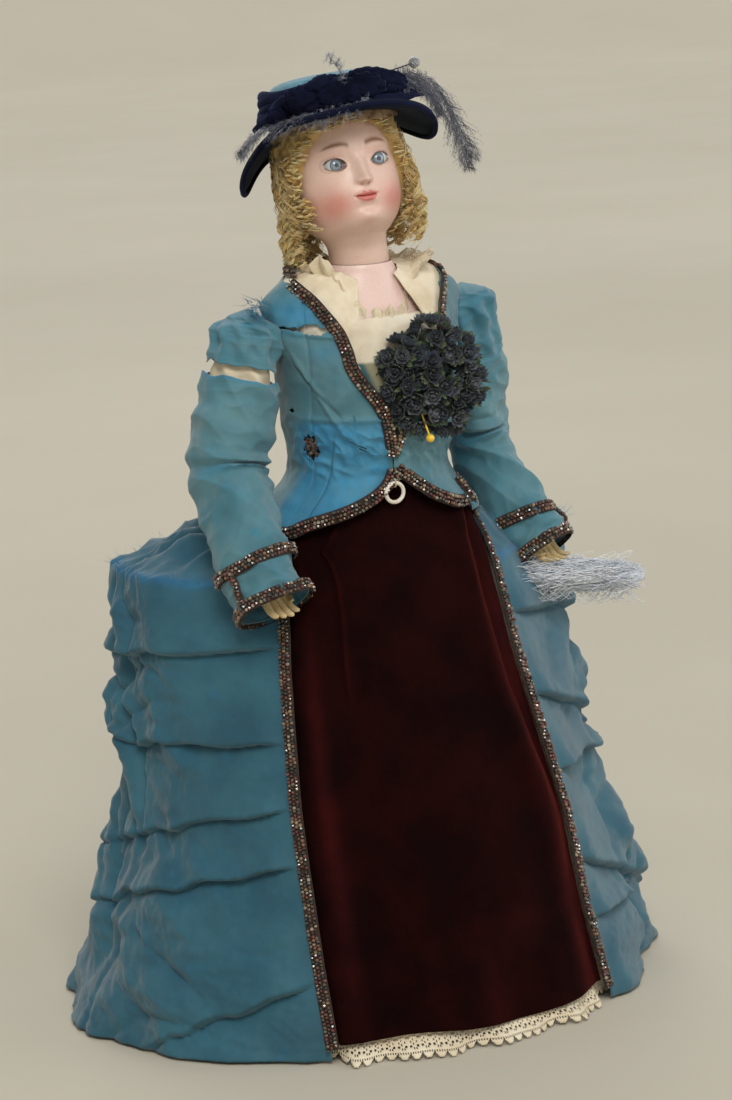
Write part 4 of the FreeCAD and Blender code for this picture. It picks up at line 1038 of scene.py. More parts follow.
for n, (centre, size, turn) in enumerate((((-21, -31, 421.5), (9.5, 4.6, 6.2), 0.12),
                                          ((-8, -35.5, 421.5), (8.5, 4.0, 6.5), -0.1),
                                          ((5, -36.5, 423.5), (8.5, 4.2, 5.6), 0.05),
                                          ((16, -32, 424.5), (9.5, 4.4, 5.2), 0.25),
                                          ((-14, -33.5, 427), (7.5, 3.8, 3.6), -0.2),
                                          ((9, -33, 428.5), (8.5, 3.8, 2.8), 0.1),
                                          ((27, -24, 421), (8.0, 4.0, 4.0), 0.3),
                                          ((-31, -24, 417.5), (6.5, 4.0, 4.4), -0.2),
                                          ((-2, -38.5, 421), (3.2, 2.6, 4.6), 0.0))):
    puff(centre, size, turn, n * 3.7)
ribbon_loop([(-3, -36, 421), (-16, -33, 425), (-29, -25, 423), (-33, -20, 418), (-22, -30, 416)], 9, UPWARD)
ribbon_loop([(2, -36, 420), (13, -36, 416.5), (27, -29, 417), (36, -19, 417)], 9, UPWARD)
ribbon_loop([(-24, -27, 419), (-36, -20, 417), (-42, -15, 412)], 6, UPWARD, 0.6)
thicken(velvet_bits.build("hat_velvet_bow", NAVY, HEAD, ["hat_bow"], slot="navy_velvet"), 0.5)

pin = Strands()
PIN_HEAD = V((29.0, -38.5, 430.5))
for i in range(60):                                    # a ball of cut steel facets
    a, height = i * 2.39996, 1 - (i + 0.5) / 30
    d = V((math.cos(a) * math.sqrt(1 - height ** 2), math.sin(a) * math.sqrt(1 - height ** 2), height))
    pin.solid(tilt(PIN_HEAD + d * 2.1), [V((0.62, 0, 0)), V((0, 0.62, 0)), V((0, 0, 0.62))], WHITE, ICO)
pin.solid(tilt(PIN_HEAD), [V((2.3, 0, 0)), V((0, 2.3, 0)), V((0, 0, 2.3))], WHITE, ICO)
pin.tube([tilt(PIN_HEAD), tilt(V((-14, 12, 423)))], 0.4, WHITE, 8, 0.3)
pin.build("hat_pin_steel", STEEL, HEAD, ["hat_pin"], flat=True, slot="cut_steel")


def plume(store, path, length, count, colours, droop, spread=0.9, shaft=0.35):
    """An ostrich feather: a shaft with soft barbs on both sides, each with finer barbs."""
    line = curve_through(path, 60)
    store.tube([tilt(p) for p in line], shaft, (0.10, 0.10, 0.12), 5, 0.3)
    for i in range(count):
        t = (i + rng.random()) / count
        k = min(int(t * (len(line) - 1)), len(line) - 2)
        p, ahead = line[k], (line[k + 1] - line[k]).normalized()
        side = ahead.cross(V((0.2, -0.6, 1))).normalized() * rng.choice((-1, 1))
        lift = ahead.cross(side)
        reach = length * math.sin(math.pi * min(0.95, 0.16 + 0.76 * t)) * rng.uniform(0.6, 1.1)
        direction = (side * spread + ahead * 0.75 + lift * rng.uniform(-0.5, 0.5)).normalized()
        pts = []
        for m in range(8):
            s = m / 7
            pts.append(tilt(p + direction * reach * s + V((0, 0, -droop)) * reach * s * s
                            + lift * 0.8 * math.sin(s * 5 + i)))
        tint = rng.choice(colours)
        store.ribbon(pts, 0.34, scatter().normalized(), tint)
        for m in range(2, 8):
            run = (pts[m] - pts[m - 1]).normalized()
            for _ in range(3):
                d = (run + scatter() * 0.75).normalized() * rng.uniform(1.4, 3.6)
                store.ribbon([pts[m], pts[m] + d * 0.5, pts[m] + d + V((0, 0, -0.3))], 0.17,
                             V((d.y, -d.x, d.z)).normalized(), tint)


DUSK = [(0.055, 0.06, 0.085), (0.08, 0.09, 0.13), (0.15, 0.16, 0.22), (0.22, 0.23, 0.30),
        (0.035, 0.04, 0.06)]
PALE = [(0.20, 0.22, 0.32), (0.30, 0.33, 0.44), (0.12, 0.14, 0.22), (0.42, 0.44, 0.52)]
store = Strands()
plume(store, [(12, -31, 424), (28, -27, 427), (42, -18, 423), (51, -12, 412), (56, -12, 398),
              (58, -14, 387)], 14, 330, DUSK, 0.35)
plume(store, [(16, -30, 425), (30, -25, 426), (41, -18, 419), (46, -15, 408)], 10, 170, DUSK + PALE, 0.3)
plume(store, [(30, -26, 424), (40, -22, 415), (48, -20, 402), (52, -20, 390), (53, -21, 382)], 8, 130,
      DUSK, 0.5)
store.build("hat_plume_left_barbs", PLUME, HEAD, ["hat_plume_left"], slot="grey_plume")
store = Strands()
plume(store, [(-4, -34, 422), (-18, -34, 417), (-32, -27, 414), (-43, -18, 410), (-49, -11, 404)], 11, 240,
      PALE + DUSK, 0.25)
plume(store, [(6, -37, 421), (-4, -39, 417), (-14, -38, 414), (-24, -34, 413)], 8, 160, PALE, 0.2)
plume(store, [(-2, -36, 424), (-6, -38, 432), (-9, -36, 439)], 5, 30, PALE, 0.0)
store.build("hat_plume_right_barbs", PLUME, HEAD, ["hat_plume_right"], slot="grey_plume")

# ---------------------------------------- jacket
JACKET = [(226, 53.5, 46.5, 6.5), (230, 51.5, 44.5, 6), (240, 44.8, 38.8, 4.2), (248, 38.8, 34.3, 2),
          (254.3, 36.2, 32.4, 1.2),
          (262, 36.4, 33, .5), (278, 39, 35, -1), (298, 41, 36.5, -2), (318, 41.6, 33.8, 0),
          (332, 40, 26.8, 2), (341, 35.2, 22.8, 2),
          (346, 31, 20, 1.5)]
NECKLINE = [(-180, 345), (-75, 341), (-54, 335), (-42, 326), (-37, 319), (-34.5, 312), (-33, 303),
            (-25, 294), (-16, 285), (-11, 273),
            (-9, 262), (-8, 262), (-3, 273), (3, 282), (12, 291), (22, 301), (28, 311), (34, 319),
            (42, 326), (56, 335), (75, 341), (180, 345)]
PEPLUM = [(-180, 230), (-100, 230), (-68, 229), (-55, 234), (-36, 239), (-21, 244), (-11, 251), (-8, 257),
          (-6, 257), (7, 249.5), (17, 242.5),
          (31, 237.4), (44, 236.0), (46.6, 237), (47.4, 230), (100, 230), (180, 230)]


def along(rows, x):
    """Straight lines through (x, value) pairs."""
    for (x0, y0), (x1, y1) in zip(rows, rows[1:]):
        if x <= x1:
            return lerp(y0, y1, (x - x0) / max(x1 - x0, 1e-6)) if x > x0 else y0
    return rows[-1][1]


def jacket_out(deg, z):
    """How far the silk stands off the body: shoulder fullness, darts, waist puckers and creases."""
    front = smooth(110, 60, abs(deg))
    out = 1.7 + 7.0 * bump(abs(deg), 88, 20) * bump(z, 331, 9) + 2.0 * bump(abs(deg), 84, 20) * bump(z,
            318, 8)
    out -= 1.1 * bump(z - 283 + 0.72 * (deg + 44), 0, 1.3) * smooth(-78, -72, deg) * smooth(-40, -46, deg)
    out -= 0.7 * bump(deg + 52 - (z - 258) * 0.25, 0, 1.2) * smooth(276, 268, z)
    out -= 0.8 * bump(deg + 66, (z - 258) * 0.10, 1.2) + 0.8 * bump(deg - 50, (z - 258) * 0.08, 1.2)
    out -= 0.8 * bump(abs(deg), 150, 1.3) + 0.6 * bump(abs(deg), 179, 1.2)
    waist = bump(z, 266, 10)
    out += front * waist * (2.1 * ridges(deg * 0.9 + z * 0.6, z * 1.5, 3, 0.11) - 0.6)
    out += 1.3 * bump(z, 279.5 - 0.02 * deg, 1.6) * smooth(-8, -16, deg) * smooth(-85, -60, deg)
    out += 1.4 * bump(z, 318.5 - 0.06 * (deg + 45), 1.4) * smooth(-34, -40, deg) * smooth(-76, -60, deg)
    out += 1.6 * bump(deg + z * 0.9, 206, 2.4) * smooth(318, 300, z) * smooth(262, 280, z) * smooth(0, -15,
            deg)
    out += 1.0 * (ridges(deg * 0.7, z, 8, 0.05) - 0.5) + 0.5 * wobble(deg * 0.6, z, 4, 0.22)
    flap = smooth(-9, -4, deg) * smooth(50, 44, deg) * smooth(268, 245, z)
    flare = smooth(256, 232, z) * (1.2 * math.sin(math.radians(deg) * 7) + 1.0)
    over = out + 1.6 * flap + flare - 1.6 * smooth(46.8, 48.5, deg) * smooth(100, 60, deg) * smooth(262,
            245, z) - 1.05
    return 1.05 + 0.5 * (over + math.hypot(over, 0.35))           # never closer than the linen under it


JU, JV = ((640, 230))


def jacket_place(u, v):
    """The angle in degrees and the height of a point between the peplum's hem and the neckline."""
    deg = -8.0 + 360 * u                     # starts at the front closing and goes round by the doll's left
    deg = deg - 360 if deg > 180 else deg
    low, high = along(PEPLUM, deg), along(NECKLINE, deg)
    return deg, lerp(low, high, v)


def jacket_point(u, v):
    deg, z = jacket_place(u, v)
    return ring_point(JACKET, z, math.radians(deg), jacket_out(deg, z) + (0.9 if u < 0.03 else 0))


def jacket_holes(u, v):
    """The torn shoulder, the hole at the waist, a small one behind it and two slits beside the closing."""
    deg, z = jacket_place(u, v)
    slit = abs(z - (321.5 + 1.2 * wobble(deg * 0.3, 0, 1, 1.0) - 0.03 * (deg + 60))) < 2.0 * bump(deg, -55,
            8) + 0.5 + 0.8 * wobble(deg, 2, 3, 0.8)
    if slit and -84 < deg < -44:
        return True
    d = math.hypot((deg + 68) / 7.5, (z - 267.5) / 6.6) + 0.35 * wobble(deg * 0.5, z * 0.5, 2, 1.0)
    if d < 0.9:
        return True
    if math.hypot((deg + 82) / 3.5, (z - 284) / 1.6) + 0.3 * wobble(deg, z, 1, 0.7) < 0.7:
        return True
    for a, b, run in ((-32, 268.5, 5.5), (-28, 266.0, 3.5)):
        if abs(z - b + 0.32 * (deg - a)) < 0.30 and abs(deg - a) < run:
            return True
    return False


def jacket_shade(u, v):
    """Raw bright silk where the surface has worn off, painted shade in the folds of the right front and
    under the left arm, and dark seams.
    """
    deg, z = jacket_place(u, v)
    raw = smooth(-88, -74, deg) * smooth(-9, -12, deg) * smooth(282, 277,
            z) * (0.72 + 0.25 * wobble(deg * 0.2, z * 0.2, 1, 1))
    raw = max(raw, 0.8 * bump(z, 327, 7) * bump(deg, -62, 16), 0.35 * bump(z, 311, 4) * bump(deg, -50, 12))
    # painted shade in the folds of the right front and on the side under the left arm
    painted_shade = 1 - 0.22 * smooth(275, 300, z) * smooth(-30, -60, deg) * smooth(318, 305, z) - 0.25 * smooth(45,
            60, deg) * smooth(160, 120, deg)
    seam = 1 - 0.5 * bump(z - 283 + 0.72 * (deg + 44), 0, 0.6) * smooth(-78, -72, deg) * smooth(-40, -46,
            deg)
    seam *= 1 - 0.35 * bump(deg + 52 - (z - 258) * 0.25, 0, 0.8) * smooth(276, 268, z)
    k = painted_shade * seam * (0.95 + 0.1 * wobble(deg * 0.1, z * 0.1, 2, 1.0))
    return k * (1 - 0.55 * raw), k * (1 + 0.18 * raw), k * (1 + 0.75 * raw)


verts, faces = grid(JU, JV, jacket_point, hole=jacket_holes)
shade = paint(JU, JV, jacket_shade)
jacket = lined(piece("silk_jacket", verts, faces, SILK, ROOT, ["bodice", "peplum"], shade), 0.4, SILK_SHADED_INSIDE)

# cream chemisette in the neck opening, with the jacket's blue facing on its right edge
def chemise_place(u, v):
    deg = lerp(-86, 86, u)
    return deg, lerp(258, 324.5 + 13 * smooth(22, 74, abs(deg)), v)


def chemise_point(u, v):
    deg, z = chemise_place(u, v)
    return ring_point(JACKET, z, math.radians(deg), -0.6 + 0.5 * wobble(u * 12, v * 7, 4,
            1.0) + 0.5 * (ridges(u * 30, v * 24, 2, 0.3) - 0.5)
                      - 2.5 * smooth(0.93, 1.0, v))


def chemise_shade(u, v):
    """Cream above, the lining's colours lower down, and painted shade behind the hole at the waist."""
    deg, z = chemise_place(u, v)
    low = smooth(306.5, 305.0, z + 0.6 * wobble(deg * 0.2, 1, 1, 1.0))
    facing = low * smooth(-13 + (z - 285) * -0.5, -17 + (z - 285) * -0.5, deg)
    c = V((1, 0.985, 0.95)) * (0.93 + 0.09 * wobble(deg * 0.1, z * 0.1, 7, 1.0))
    c = c.lerp(V((0.30, 0.33, 0.24)), 0.9 * low).lerp(V((0.05, 0.17, 0.25)), facing)
    # painted shade where the chemisette lies behind the hole at the waist
    return tuple(c.lerp(V((0.07, 0.05, 0.04)), smooth(279, 276, z) * smooth(-40, -50, deg)))


verts, faces = grid(200, 110, chemise_point)
shade = paint(200, 110, chemise_shade)
chemise = piece("cotton_chemisette", verts, faces, COTTON, ROOT, ["chemisette"], shade)
thicken(chemise, 0.35)


def yoke_point(u, v):
    """Cotton from the jacket's neck edge in to the plate's rim, round the sides and back."""
    deg = lerp(29, 331, u)
    d = deg - 360 if deg > 180 else deg
    rim = ring_point(JACKET, along(NECKLINE, d) - 1.0, math.radians(d),
                     jacket_out(d, along(NECKLINE, d) - 1.0) - 0.9)
    neck = V((math.sin(math.radians(d)) * 17.2, 0.5 - math.cos(math.radians(d)) * 16.6, 344.2))
    edge = smooth(60, 40, abs(d))
    p = rim.lerp(neck, v * lerp(1.0, 0.93, edge))
    return p + V((0, 0, 1)) * (3.0 * math.sin(math.pi * v) * (1 - v) + 0.5 * wobble(deg * 0.1, v * 5, 1,
            1.0)) + V((0, -1.6, 0)) * edge * math.sin(math.pi * v)


verts, faces = grid(150, 30, yoke_point)
yoke = thicken(piece("cotton_yoke", verts, faces, COTTON, ROOT, (), [(0.98, 0.95, 0.88)] * len(verts)), 0.3)


def collar_point(u, v):
    """A gathered lace frill: flat on the chest in front, standing at the sides and behind."""
    deg = lerp(-180, 180, u)
    a = math.radians(deg)
    side = smooth(18, 62, abs(deg))
    spike = bump(deg, -66, 9)
    low = V((math.sin(a) * lerp(25, 21.5, side), 1.0 - math.cos(a) * lerp(27.2, 18.5, side),
             lerp(319.5, 341.0, side) - 1.0 * bump(abs(deg), 20, 12)))
    frill = math.sin(a * 17 + 2 * math.sin(a * 5)) * 1.9 + math.sin(a * 41) * 0.6
    left = smooth(25, 60, deg) * smooth(150, 100, deg)
    top_r = lerp(24.5, lerp(26.0, 34.5, left), side)
    top = V((math.sin(a) * (top_r + frill), 0.8 - math.cos(a) * (lerp(25.6, lerp(21.5, 28, left),
            side) + frill * lerp(0.45, 1, side)),
             lerp(328.0, 346.5, side) + 7 * spike + 2.0 * left + 1.4 * math.sin(a * 23)
             + 1.3 * wobble(deg * 0.1, 0, 3, 1.0)))
    mid = low.lerp(top, 0.5) + V((math.sin(a), -math.cos(a), 0)) * (1.8 + 0.7 * frill)
    p = low * (1 - v) ** 2 + mid * 2 * v * (1 - v) + top * v * v
    return p + V((math.sin(a), -math.cos(a), 0.3)) * 0.5 * wobble(deg * 0.3, v * 3, 5, 1.0)


CU, CV = 660, 34


def collar_net(u, v):
    """The holes of the net on the doll's left, and the scallops along the edge."""
    if v > 0.90 and (0.5 + 0.5 * math.sin(u * TURN * 44)) < (v - 0.90) * 6:
        return True
    if v < 0.45 or not 0.50 < u < 0.93:
        return False
    i, j = int(u * CU), int(v * CV)
    return (i % 3 == 0 and j % 3 == 0) or (v > 0.6 and wobble(u * 60, v * 8, 2,
            1.0) > 0.35 and (i + j) % 2 == 0)


verts, faces = grid(CU, CV, collar_point, hole=collar_net)
collar = thicken(piece("lace_collar", verts, faces, COTTON, ROOT, ["collar_lace"],
                       [tuple(V((0.98, 0.93, 0.82)) * (0.86 + 0.16 * abs(wobble(i * 0.013, i * 0.0007, 1,
                               3)))) for i in range(len(verts))]), 0.25)


def jacket_line(points, lift=0.6):
    """A path on the jacket through (angle, height) points."""
    line = []
    for (a0, z0), (a1, z1) in zip(points, points[1:]):
        for k in range(10):
            a, z = lerp(a0, a1, k / 10), lerp(z0, z1, k / 10)
            line.append(ring_point(JACKET, z, math.radians(a), jacket_out(a, z) + lift))
    return line + [ring_point(JACKET, points[-1][1], math.radians(points[-1][0]),
                              jacket_out(*points[-1]) + lift)]


store = Strands()
bead_band(store, curve_through(jacket_line([p for p in NECKLINE if -170 < p[0] < -8.5])[::6], 240),
          body_normal(JACKET), 3)
bead_band(store, curve_through(jacket_line([p for p in NECKLINE if -8.5 < p[0] < 170])[::6], 240),
          body_normal(JACKET), 2)
back_neck = [(deg, along(NECKLINE, deg)) for deg in range(75, 286, 15)]
bead_band(store, [ring_point(JACKET, z, math.radians(d), 2.4) for d, z in back_neck], body_normal(JACKET),
          2)
store.build("beads_neckline", BEADS, ROOT, ["bodice_neck_trim"], flat=True, slot="glass_beads")
store = Strands()
bead_band(store, curve_through(jacket_line([p for p in PEPLUM if -101 < p[0] < -7], 1.0)[::6], 200),
          body_normal(JACKET), 3, lift=1.6)
bead_band(store, curve_through(jacket_line([p for p in PEPLUM if -7 < p[0] < 45], 1.0)[::6], 200),
          body_normal(JACKET), 3, lift=1.6)
bead_band(store, curve_through(jacket_line([(46.5, 235), (46.8, 241), (46.5, 248)], 1.4), 30),
          body_normal(JACKET), 2, lift=1.6)
hem_back = [ring_point(JACKET, 230.6, math.radians(d), 3.0) for d in range(100, 261, 4)]
bead_band(store, hem_back, body_normal(JACKET), 3)
for i in range(40):                                            # beads caught behind the tear
    a, z = math.radians(-68 + rng.uniform(-5, 5)), 267 + rng.uniform(-4, 4)
    store.solid(ring_point(JACKET, z, a, 0.9), [V((0.9, 0, 0)), V((0, 0.9, 0)), V((0, 0, 0.9))],
                rng.choice(BEAD_COLOURS[:6]), ICO)
store.build("beads_peplum", BEADS, ROOT, ["peplum_trim"], flat=True, slot="glass_beads")

# loose threads where the silk has split
RAW = [(0.05, 0.36, 0.62), (0.06, 0.30, 0.48), (0.10, 0.45, 0.70), (0.04, 0.22, 0.34)]
frays = Strands()
RAW_SILK = plain("raw_silk", [(0.3, (0.75, 0.75, 0.75)), (0.7, (1, 1, 1))], 400, 0.6, 0.2, 1500)


def fray(p, away, count, long, width=0.16):
    """Loose bent threads from a point."""
    for _ in range(count):
        d = (away + scatter() * 0.55).normalized()
        reach = long * rng.uniform(0.35, 1.1)
        bend = V((rng.uniform(-1, 1), rng.uniform(-1, 1), rng.uniform(-1, 0.4))) * reach * 0.3
        frays.ribbon([p, p + d * reach * 0.4 + bend * 0.3, p + d * reach * 0.75 + bend * 0.8,
                      p + d * reach + bend], width,
                     V((-d.y, d.x, 0.4)).normalized(), rng.choice(RAW))


for i in range(46):
    deg, z = rng.uniform(-82, -46), 321.5 + rng.choice((-1.2, 1.2))
    fray(ring_point(JACKET, z, math.radians(deg), jacket_out(deg, z)), V((rng.uniform(-1, 1), -0.8, 0.2)),
         2, 2.2)
for i in range(90):
    deg, z = rng.choice((rng.uniform(-76, -60), rng.uniform(-40, -14))), rng.uniform(262, 274)
    fray(ring_point(JACKET, z, math.radians(deg), jacket_out(deg, z)),
         V((rng.uniform(-1, 1), -0.4, rng.uniform(-0.4, 0.4))), 2, 4.0, 0.14)
for i in range(70):
    fray(V((-53, -2, 333)) + V((rng.uniform(-5, 3), rng.uniform(-10, 4), rng.uniform(-5, 2))),
         V((-1, -0.4, 0.1)), 3, 7.0, 0.36)
for i in range(420):                                           # the raw top edge of the train
    u = rng.uniform(0.05, 0.95)
    p = overskirt_point(u, 0.917)
    fray(p, V((p.x * 0.006, p.y * 0.003, 0.8)), 1, 8.0, 0.22)
frays.build("frayed_silk", RAW_SILK, ROOT, slot="silk")

# ---------------------------------------- sleeves
ARMS = {
    "right": dict(path=[(-55.5, 3, 327), (-57, 3, 318), (-61.5, 2.6, 300), (-67, 2.2, 280),
                        (-71.5, 0.5, 259), (-72.2, -12, 240),
                        (-71.5, -27, 217), (-70.0, -36.5, 203.5)], elbow=V((-71.5, 0, 258)),
                        wrist=V((-71.5, -30, 213)),
                  tips=V((-66, -44, 196)), radius=[(0, 9.5), (0.10, 14.5), (0.22, 15.2), (0.30, 17.0),
                                                   (0.48, 17.8), (0.60, 17.4), (0.78, 16.4), (1, 15.8)]),
    "left": dict(path=[(54, 4, 327), (55.5, 4, 318), (57.5, 6.5, 300), (60.5, 9, 280), (62.5, 10.5, 259),
                       (67.5, 2, 240), (75, -12.5, 216),
                       (78.6, -19.5, 206)], elbow=V((62, 11, 258)), wrist=V((76, -14, 213)),
                       tips=V((82, -27, 198)),
                 radius=[(0, 9), (0.10, 13.6), (0.24, 14.6), (0.48, 14.8), (0.62, 14.2), (0.80, 13.4),
                         (1, 13.2)])}


def arm_frame(arm, t):
    """The middle, the direction down the arm, its front and its side at t from 0 (shoulder) to 1 (cuff)."""
    line = arm.setdefault("line", curve_through(arm["path"], 210))
    k = t * (len(line) - 1)
    i = min(int(k), len(line) - 2)
    p = line[i].lerp(line[i + 1], k - i)
    down = (line[min(i + 4, len(line) - 1)] - line[max(i - 4, 0)]).normalized()
    front = (V((0, -1, 0)) - down * down.dot(V((0, -1, 0)))).normalized()
    return p, down, front, down.cross(front)


def sleeve_point(arm, t, angle, out=0.0, seed=1.0):
    """A point of the sleeve's creased silk: t runs down the arm, angle 0 is the front."""
    p, down, front, side = arm_frame(arm, t)
    r = table(arm["radius"], t)[0]
    inner = 0.5 + 0.5 * math.cos(angle)      # 1 at the front of the arm, inside the bend
    folds = 2.1 * bump(t, 0.535, 0.014) - 1.3 * bump(t, 0.56, 0.012) + 1.7 * bump(t, 0.59,
            0.016) - 1.0 * bump(t, 0.50, 0.014)
    out += folds * (0.35 + 0.65 * inner) * (0.7 + 0.5 * math.sin(angle * 2 + seed * 3))
    out += 2.3 * (ridges(math.cos(angle) * 9, t * 120 + 14 * math.sin(angle), seed * 7,
                         0.075) - 0.5) + 0.9 * wobble(math.cos(angle) * 2.2, t * 22, seed, 1.0)
    out += 0.8 * (ridges(math.sin(angle) * 16, t * 200, seed * 3, 0.11) - 0.5)
    out += 1.2 * math.sin(angle * 3 + t * 9 + seed) * smooth(0.25, 0.4, t) * smooth(1.0, 0.8, t)
    return p + (front * math.cos(angle) + side * math.sin(angle)) * (r + out)


CAP_U, SLEEVE_U, SLEEVE_V = 150, 170, 230
for name, arm in ARMS.items():
    seed = 1.0 if name == "right" else 2.3
    split = 0.285 if name == "right" else None

    def cap(u, v, arm=arm, seed=seed, split=split):
        """The top of the sleeve, which ends in a ragged edge where the right one is split."""
        angle = TURN * u
        end = (0.245 + 0.012 * wobble(u * 14, 1, 2, 1.0)) if split else 0.34
        return sleeve_point(arm, lerp(0.0, end, v), angle, 1.3 * math.sin(angle * 9 + v * 5) * smooth(0.1,
                0.4, v) * smooth(1, 0.7, v), seed)

    def main(u, v, arm=arm, seed=seed, split=split):
        """The rest of the sleeve down to the cuff."""
        angle = TURN * u
        begin = (split + 0.010 * wobble(u * 12, 2, 5, 1.0)) if split else 0.30
        return sleeve_point(arm, lerp(begin, 1.0, v), angle, 0.4 if split else 0.7 * smooth(0.0, 0.02, v),
                            seed)

    verts, faces = grid(CAP_U, 60 if split else 70, cap, wrap=True)
    tip = len(verts)                                             # closes the top of the cap
    verts.append(arm_frame(arm, 0)[0] + V((0, 0, 4)))
    faces += [(tip, (i + 1) % CAP_U, i) for i in range(CAP_U)]
    shade = []
    for i in range(len(verts)):
        k = 0.92 + 0.14 * wobble(i * 0.021, i * 0.0007, 2, 1.0)
        raw = 0.5 * abs(wobble(i * 0.013, i * 0.0013, 7, 1.0)) if name == "right" else 0.1
        shade.append((k * (1 - raw), k * (1 + 0.1 * raw), k * (1 + 0.6 * raw)))
    cap_piece = thicken(piece(f"sleeve_cap_{name}", verts, faces, SILK, f"upper_arm_{name}",
                              [f"upper_sleeve_{name}"], shade), 0.4)

    verts, faces = grid(SLEEVE_U, SLEEVE_V, main, wrap=True)
    shade = []
    for j in range(SLEEVE_V + 1):
        for i in range(SLEEVE_U):
            angle, t = TURN * i / SLEEVE_U, j / SLEEVE_V
            k = 0.95 + 0.13 * wobble(i * 0.06, j * 0.05, seed, 1.0)
            raw = 0.55 * bump(t, 0.42, 0.03) * (0.5 + 0.5 * math.sin(angle * 2 + 1)) + 0.8 * smooth(0.02,
                    0.0, t) * (1 if split else 0)
            seam = 1 - 0.4 * bump(angle, math.pi * (0.62 if name == "left" else 1.38), 0.03)
            shade.append((k * seam * (1 - 0.5 * raw), k * seam * (1 + 0.12 * raw),
                          k * seam * (1 + 0.5 * raw)))
    body = lined(piece(f"sleeve_{name}", verts, faces, SILK, None, [f"lower_sleeve_{name}"], shade),
                 0.4, SILK_SHADED_INSIDE)
    first, last = arm_frame(arm, 0.46)[0], arm_frame(arm, 0.66)[0]
    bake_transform(body)

    if split:                                                    # the cream undersleeve in the gap
        verts, faces = grid(90, 30, lambda u, v, arm=arm: sleeve_point(arm, lerp(0.18, 0.40, v), TURN * u,
                -3.4, seed), wrap=True)
        under = thicken(piece("cotton_undersleeve_right", verts, faces, COTTON, "upper_arm_right", (),
                              [(0.97, 0.94, 0.86)] * len(verts)), 0.35)

    store = Strands()                        # two bands round the cuff, joined by a short one inside
    inner = math.pi * (0.5 if name == "right" else 1.5) + (0.35 if name == "right" else -0.35) * -1

    def away(p, arm=arm):
        """Out of the lower arm, from the nearest point of its middle line."""
        return p - min(arm["line"][120:], key=lambda q: (q - p).length)

    for t, lean in ((0.835, 0.035), (0.985, 0.012)):
        ring = [sleeve_point(arm, t + lean * math.cos(TURN * k / 90 - inner) * 0.4, TURN * k / 90, 0.9,
                             seed) for k in range(91)]
        bead_band(store, ring, away, 3)
    bead_band(store, [sleeve_point(arm, lerp(0.845, 0.985, k / 12), inner, 0.9, seed) for k in range(13)],
              away, 2)
    store.build(f"beads_cuff_{name}", BEADS, f"forearm_{name}", [f"cuff_trim_{name}"], flat=True,
                slot="glass_beads")

# ---------------------------------------- kid hands
for name, arm in ARMS.items():
    hand = Strands()
    wrist, tips = arm["wrist"], arm["tips"]
    down = (tips - wrist).normalized()
    across = down.cross(V((0, -0.5, 1))).normalized()
    palm_n = across.cross(down)
    knuckle = wrist + down * 9.5
    fore = curve_through([arm["elbow"], arm["elbow"].lerp(wrist, 0.5), wrist], 24)

    def leather(line, r_wide, r_thin, sides=22, shade=1.0, hand=hand, across=across, palm_n=palm_n):
        """A stuffed leather tube with its own width and thickness at each step."""
        first = len(hand.verts)
        for i, p in enumerate(line):
            t = i / (len(line) - 1)
            for k in range(sides):
                a = TURN * k / sides
                bumpy = 1 + 0.06 * wobble(p.x + k, p.y, p.z, 0.5)
                hand.verts.append(p + across * math.cos(a) * r_wide(t) * bumpy
                                  + palm_n * math.sin(a) * r_thin(t) * bumpy)
                hand.tint.append(tuple(c * shade * (0.85 + 0.25 * abs(wobble(p.x, p.y, p.z + k,
                        0.35))) for c in (1, 0.98, 0.92)))
        hand.faces += pipe(first, len(line) - 1, sides)

    leather(fore, lambda t: lerp(9.5, 6.6, t), lambda t: lerp(9.5, 6.2, t), 24)
    leather([wrist.lerp(knuckle, i / 14) for i in range(15)], lambda t: lerp(6.5, 7.2, t),
            lambda t: lerp(6.0, 3.6, t), 24)
    for f in range(4):
        s = (f - 1.5) / 1.5
        root = knuckle - down * 1.0 + across * s * 4.9
        long = 13.5 - 1.8 * abs(s + 0.2)
        bend = palm_n * (2.6 if name == "right" else 4.5)
        line = curve_through([root, root + down * long * 0.5 + across * s * 0.6,
                              root + down * long * 0.92 + bend + across * s * 1.0], 14)
        leather(line, lambda t: 2.05 * (1 - 0.35 * t) * (1 - smooth(0.86, 1.0, t) * 0.6),
                lambda t: 2.1 * (1 - 0.35 * t) * (1 - smooth(0.86, 1, t) * 0.6), 12, 0.95 + 0.1 * (f % 2))
    thumb = wrist + down * 5 + across * (-5.6 if name == "right" else 5.6)
    leather(curve_through([thumb, thumb + down * 5 - across * (1.6 if name == "right" else -1.6),
                           thumb + down * 9 + palm_n * 2.4], 12),
            lambda t: 2.4 * (1 - 0.4 * t), lambda t: 2.4 * (1 - 0.4 * t), 12)
    hand.build(f"kid_hand_{name}", KID, f"forearm_{name}", [f"forearm_{name}"], slot="kid_leather")

# ---------------------------------------- corsage of paper flowers
flowers, leaves = Strands(), Strands()


def leaf(store, base, d, up_dir, long, wide, cup, tint, edge, rows=4):
    """A cupped petal or leaf from base along d."""
    side = d.cross(up_dir).normalized()
    first = len(store.verts)
    for i in range(rows + 1):
        t = i / rows
        w = wide * math.sin(math.pi * (0.12 + 0.80 * t)) ** 0.8
        for k in (-1, -0.5, 0, 0.5, 1):
            curl = cup * t * t + 0.25 * wide * k * k
            store.verts.append(base + d * long * t + side * w * k * 0.5 + up_dir * curl)
            # colour runs from the base tint to the edge colour; the lighter edge is a painted highlight
            store.tint.append(tuple(lerp(a, b, smooth(0.45, 1.0, max(t, abs(k)))) for a,
                                    b in zip(tint, edge)))
    store.faces += ladder(first, rows, 5)


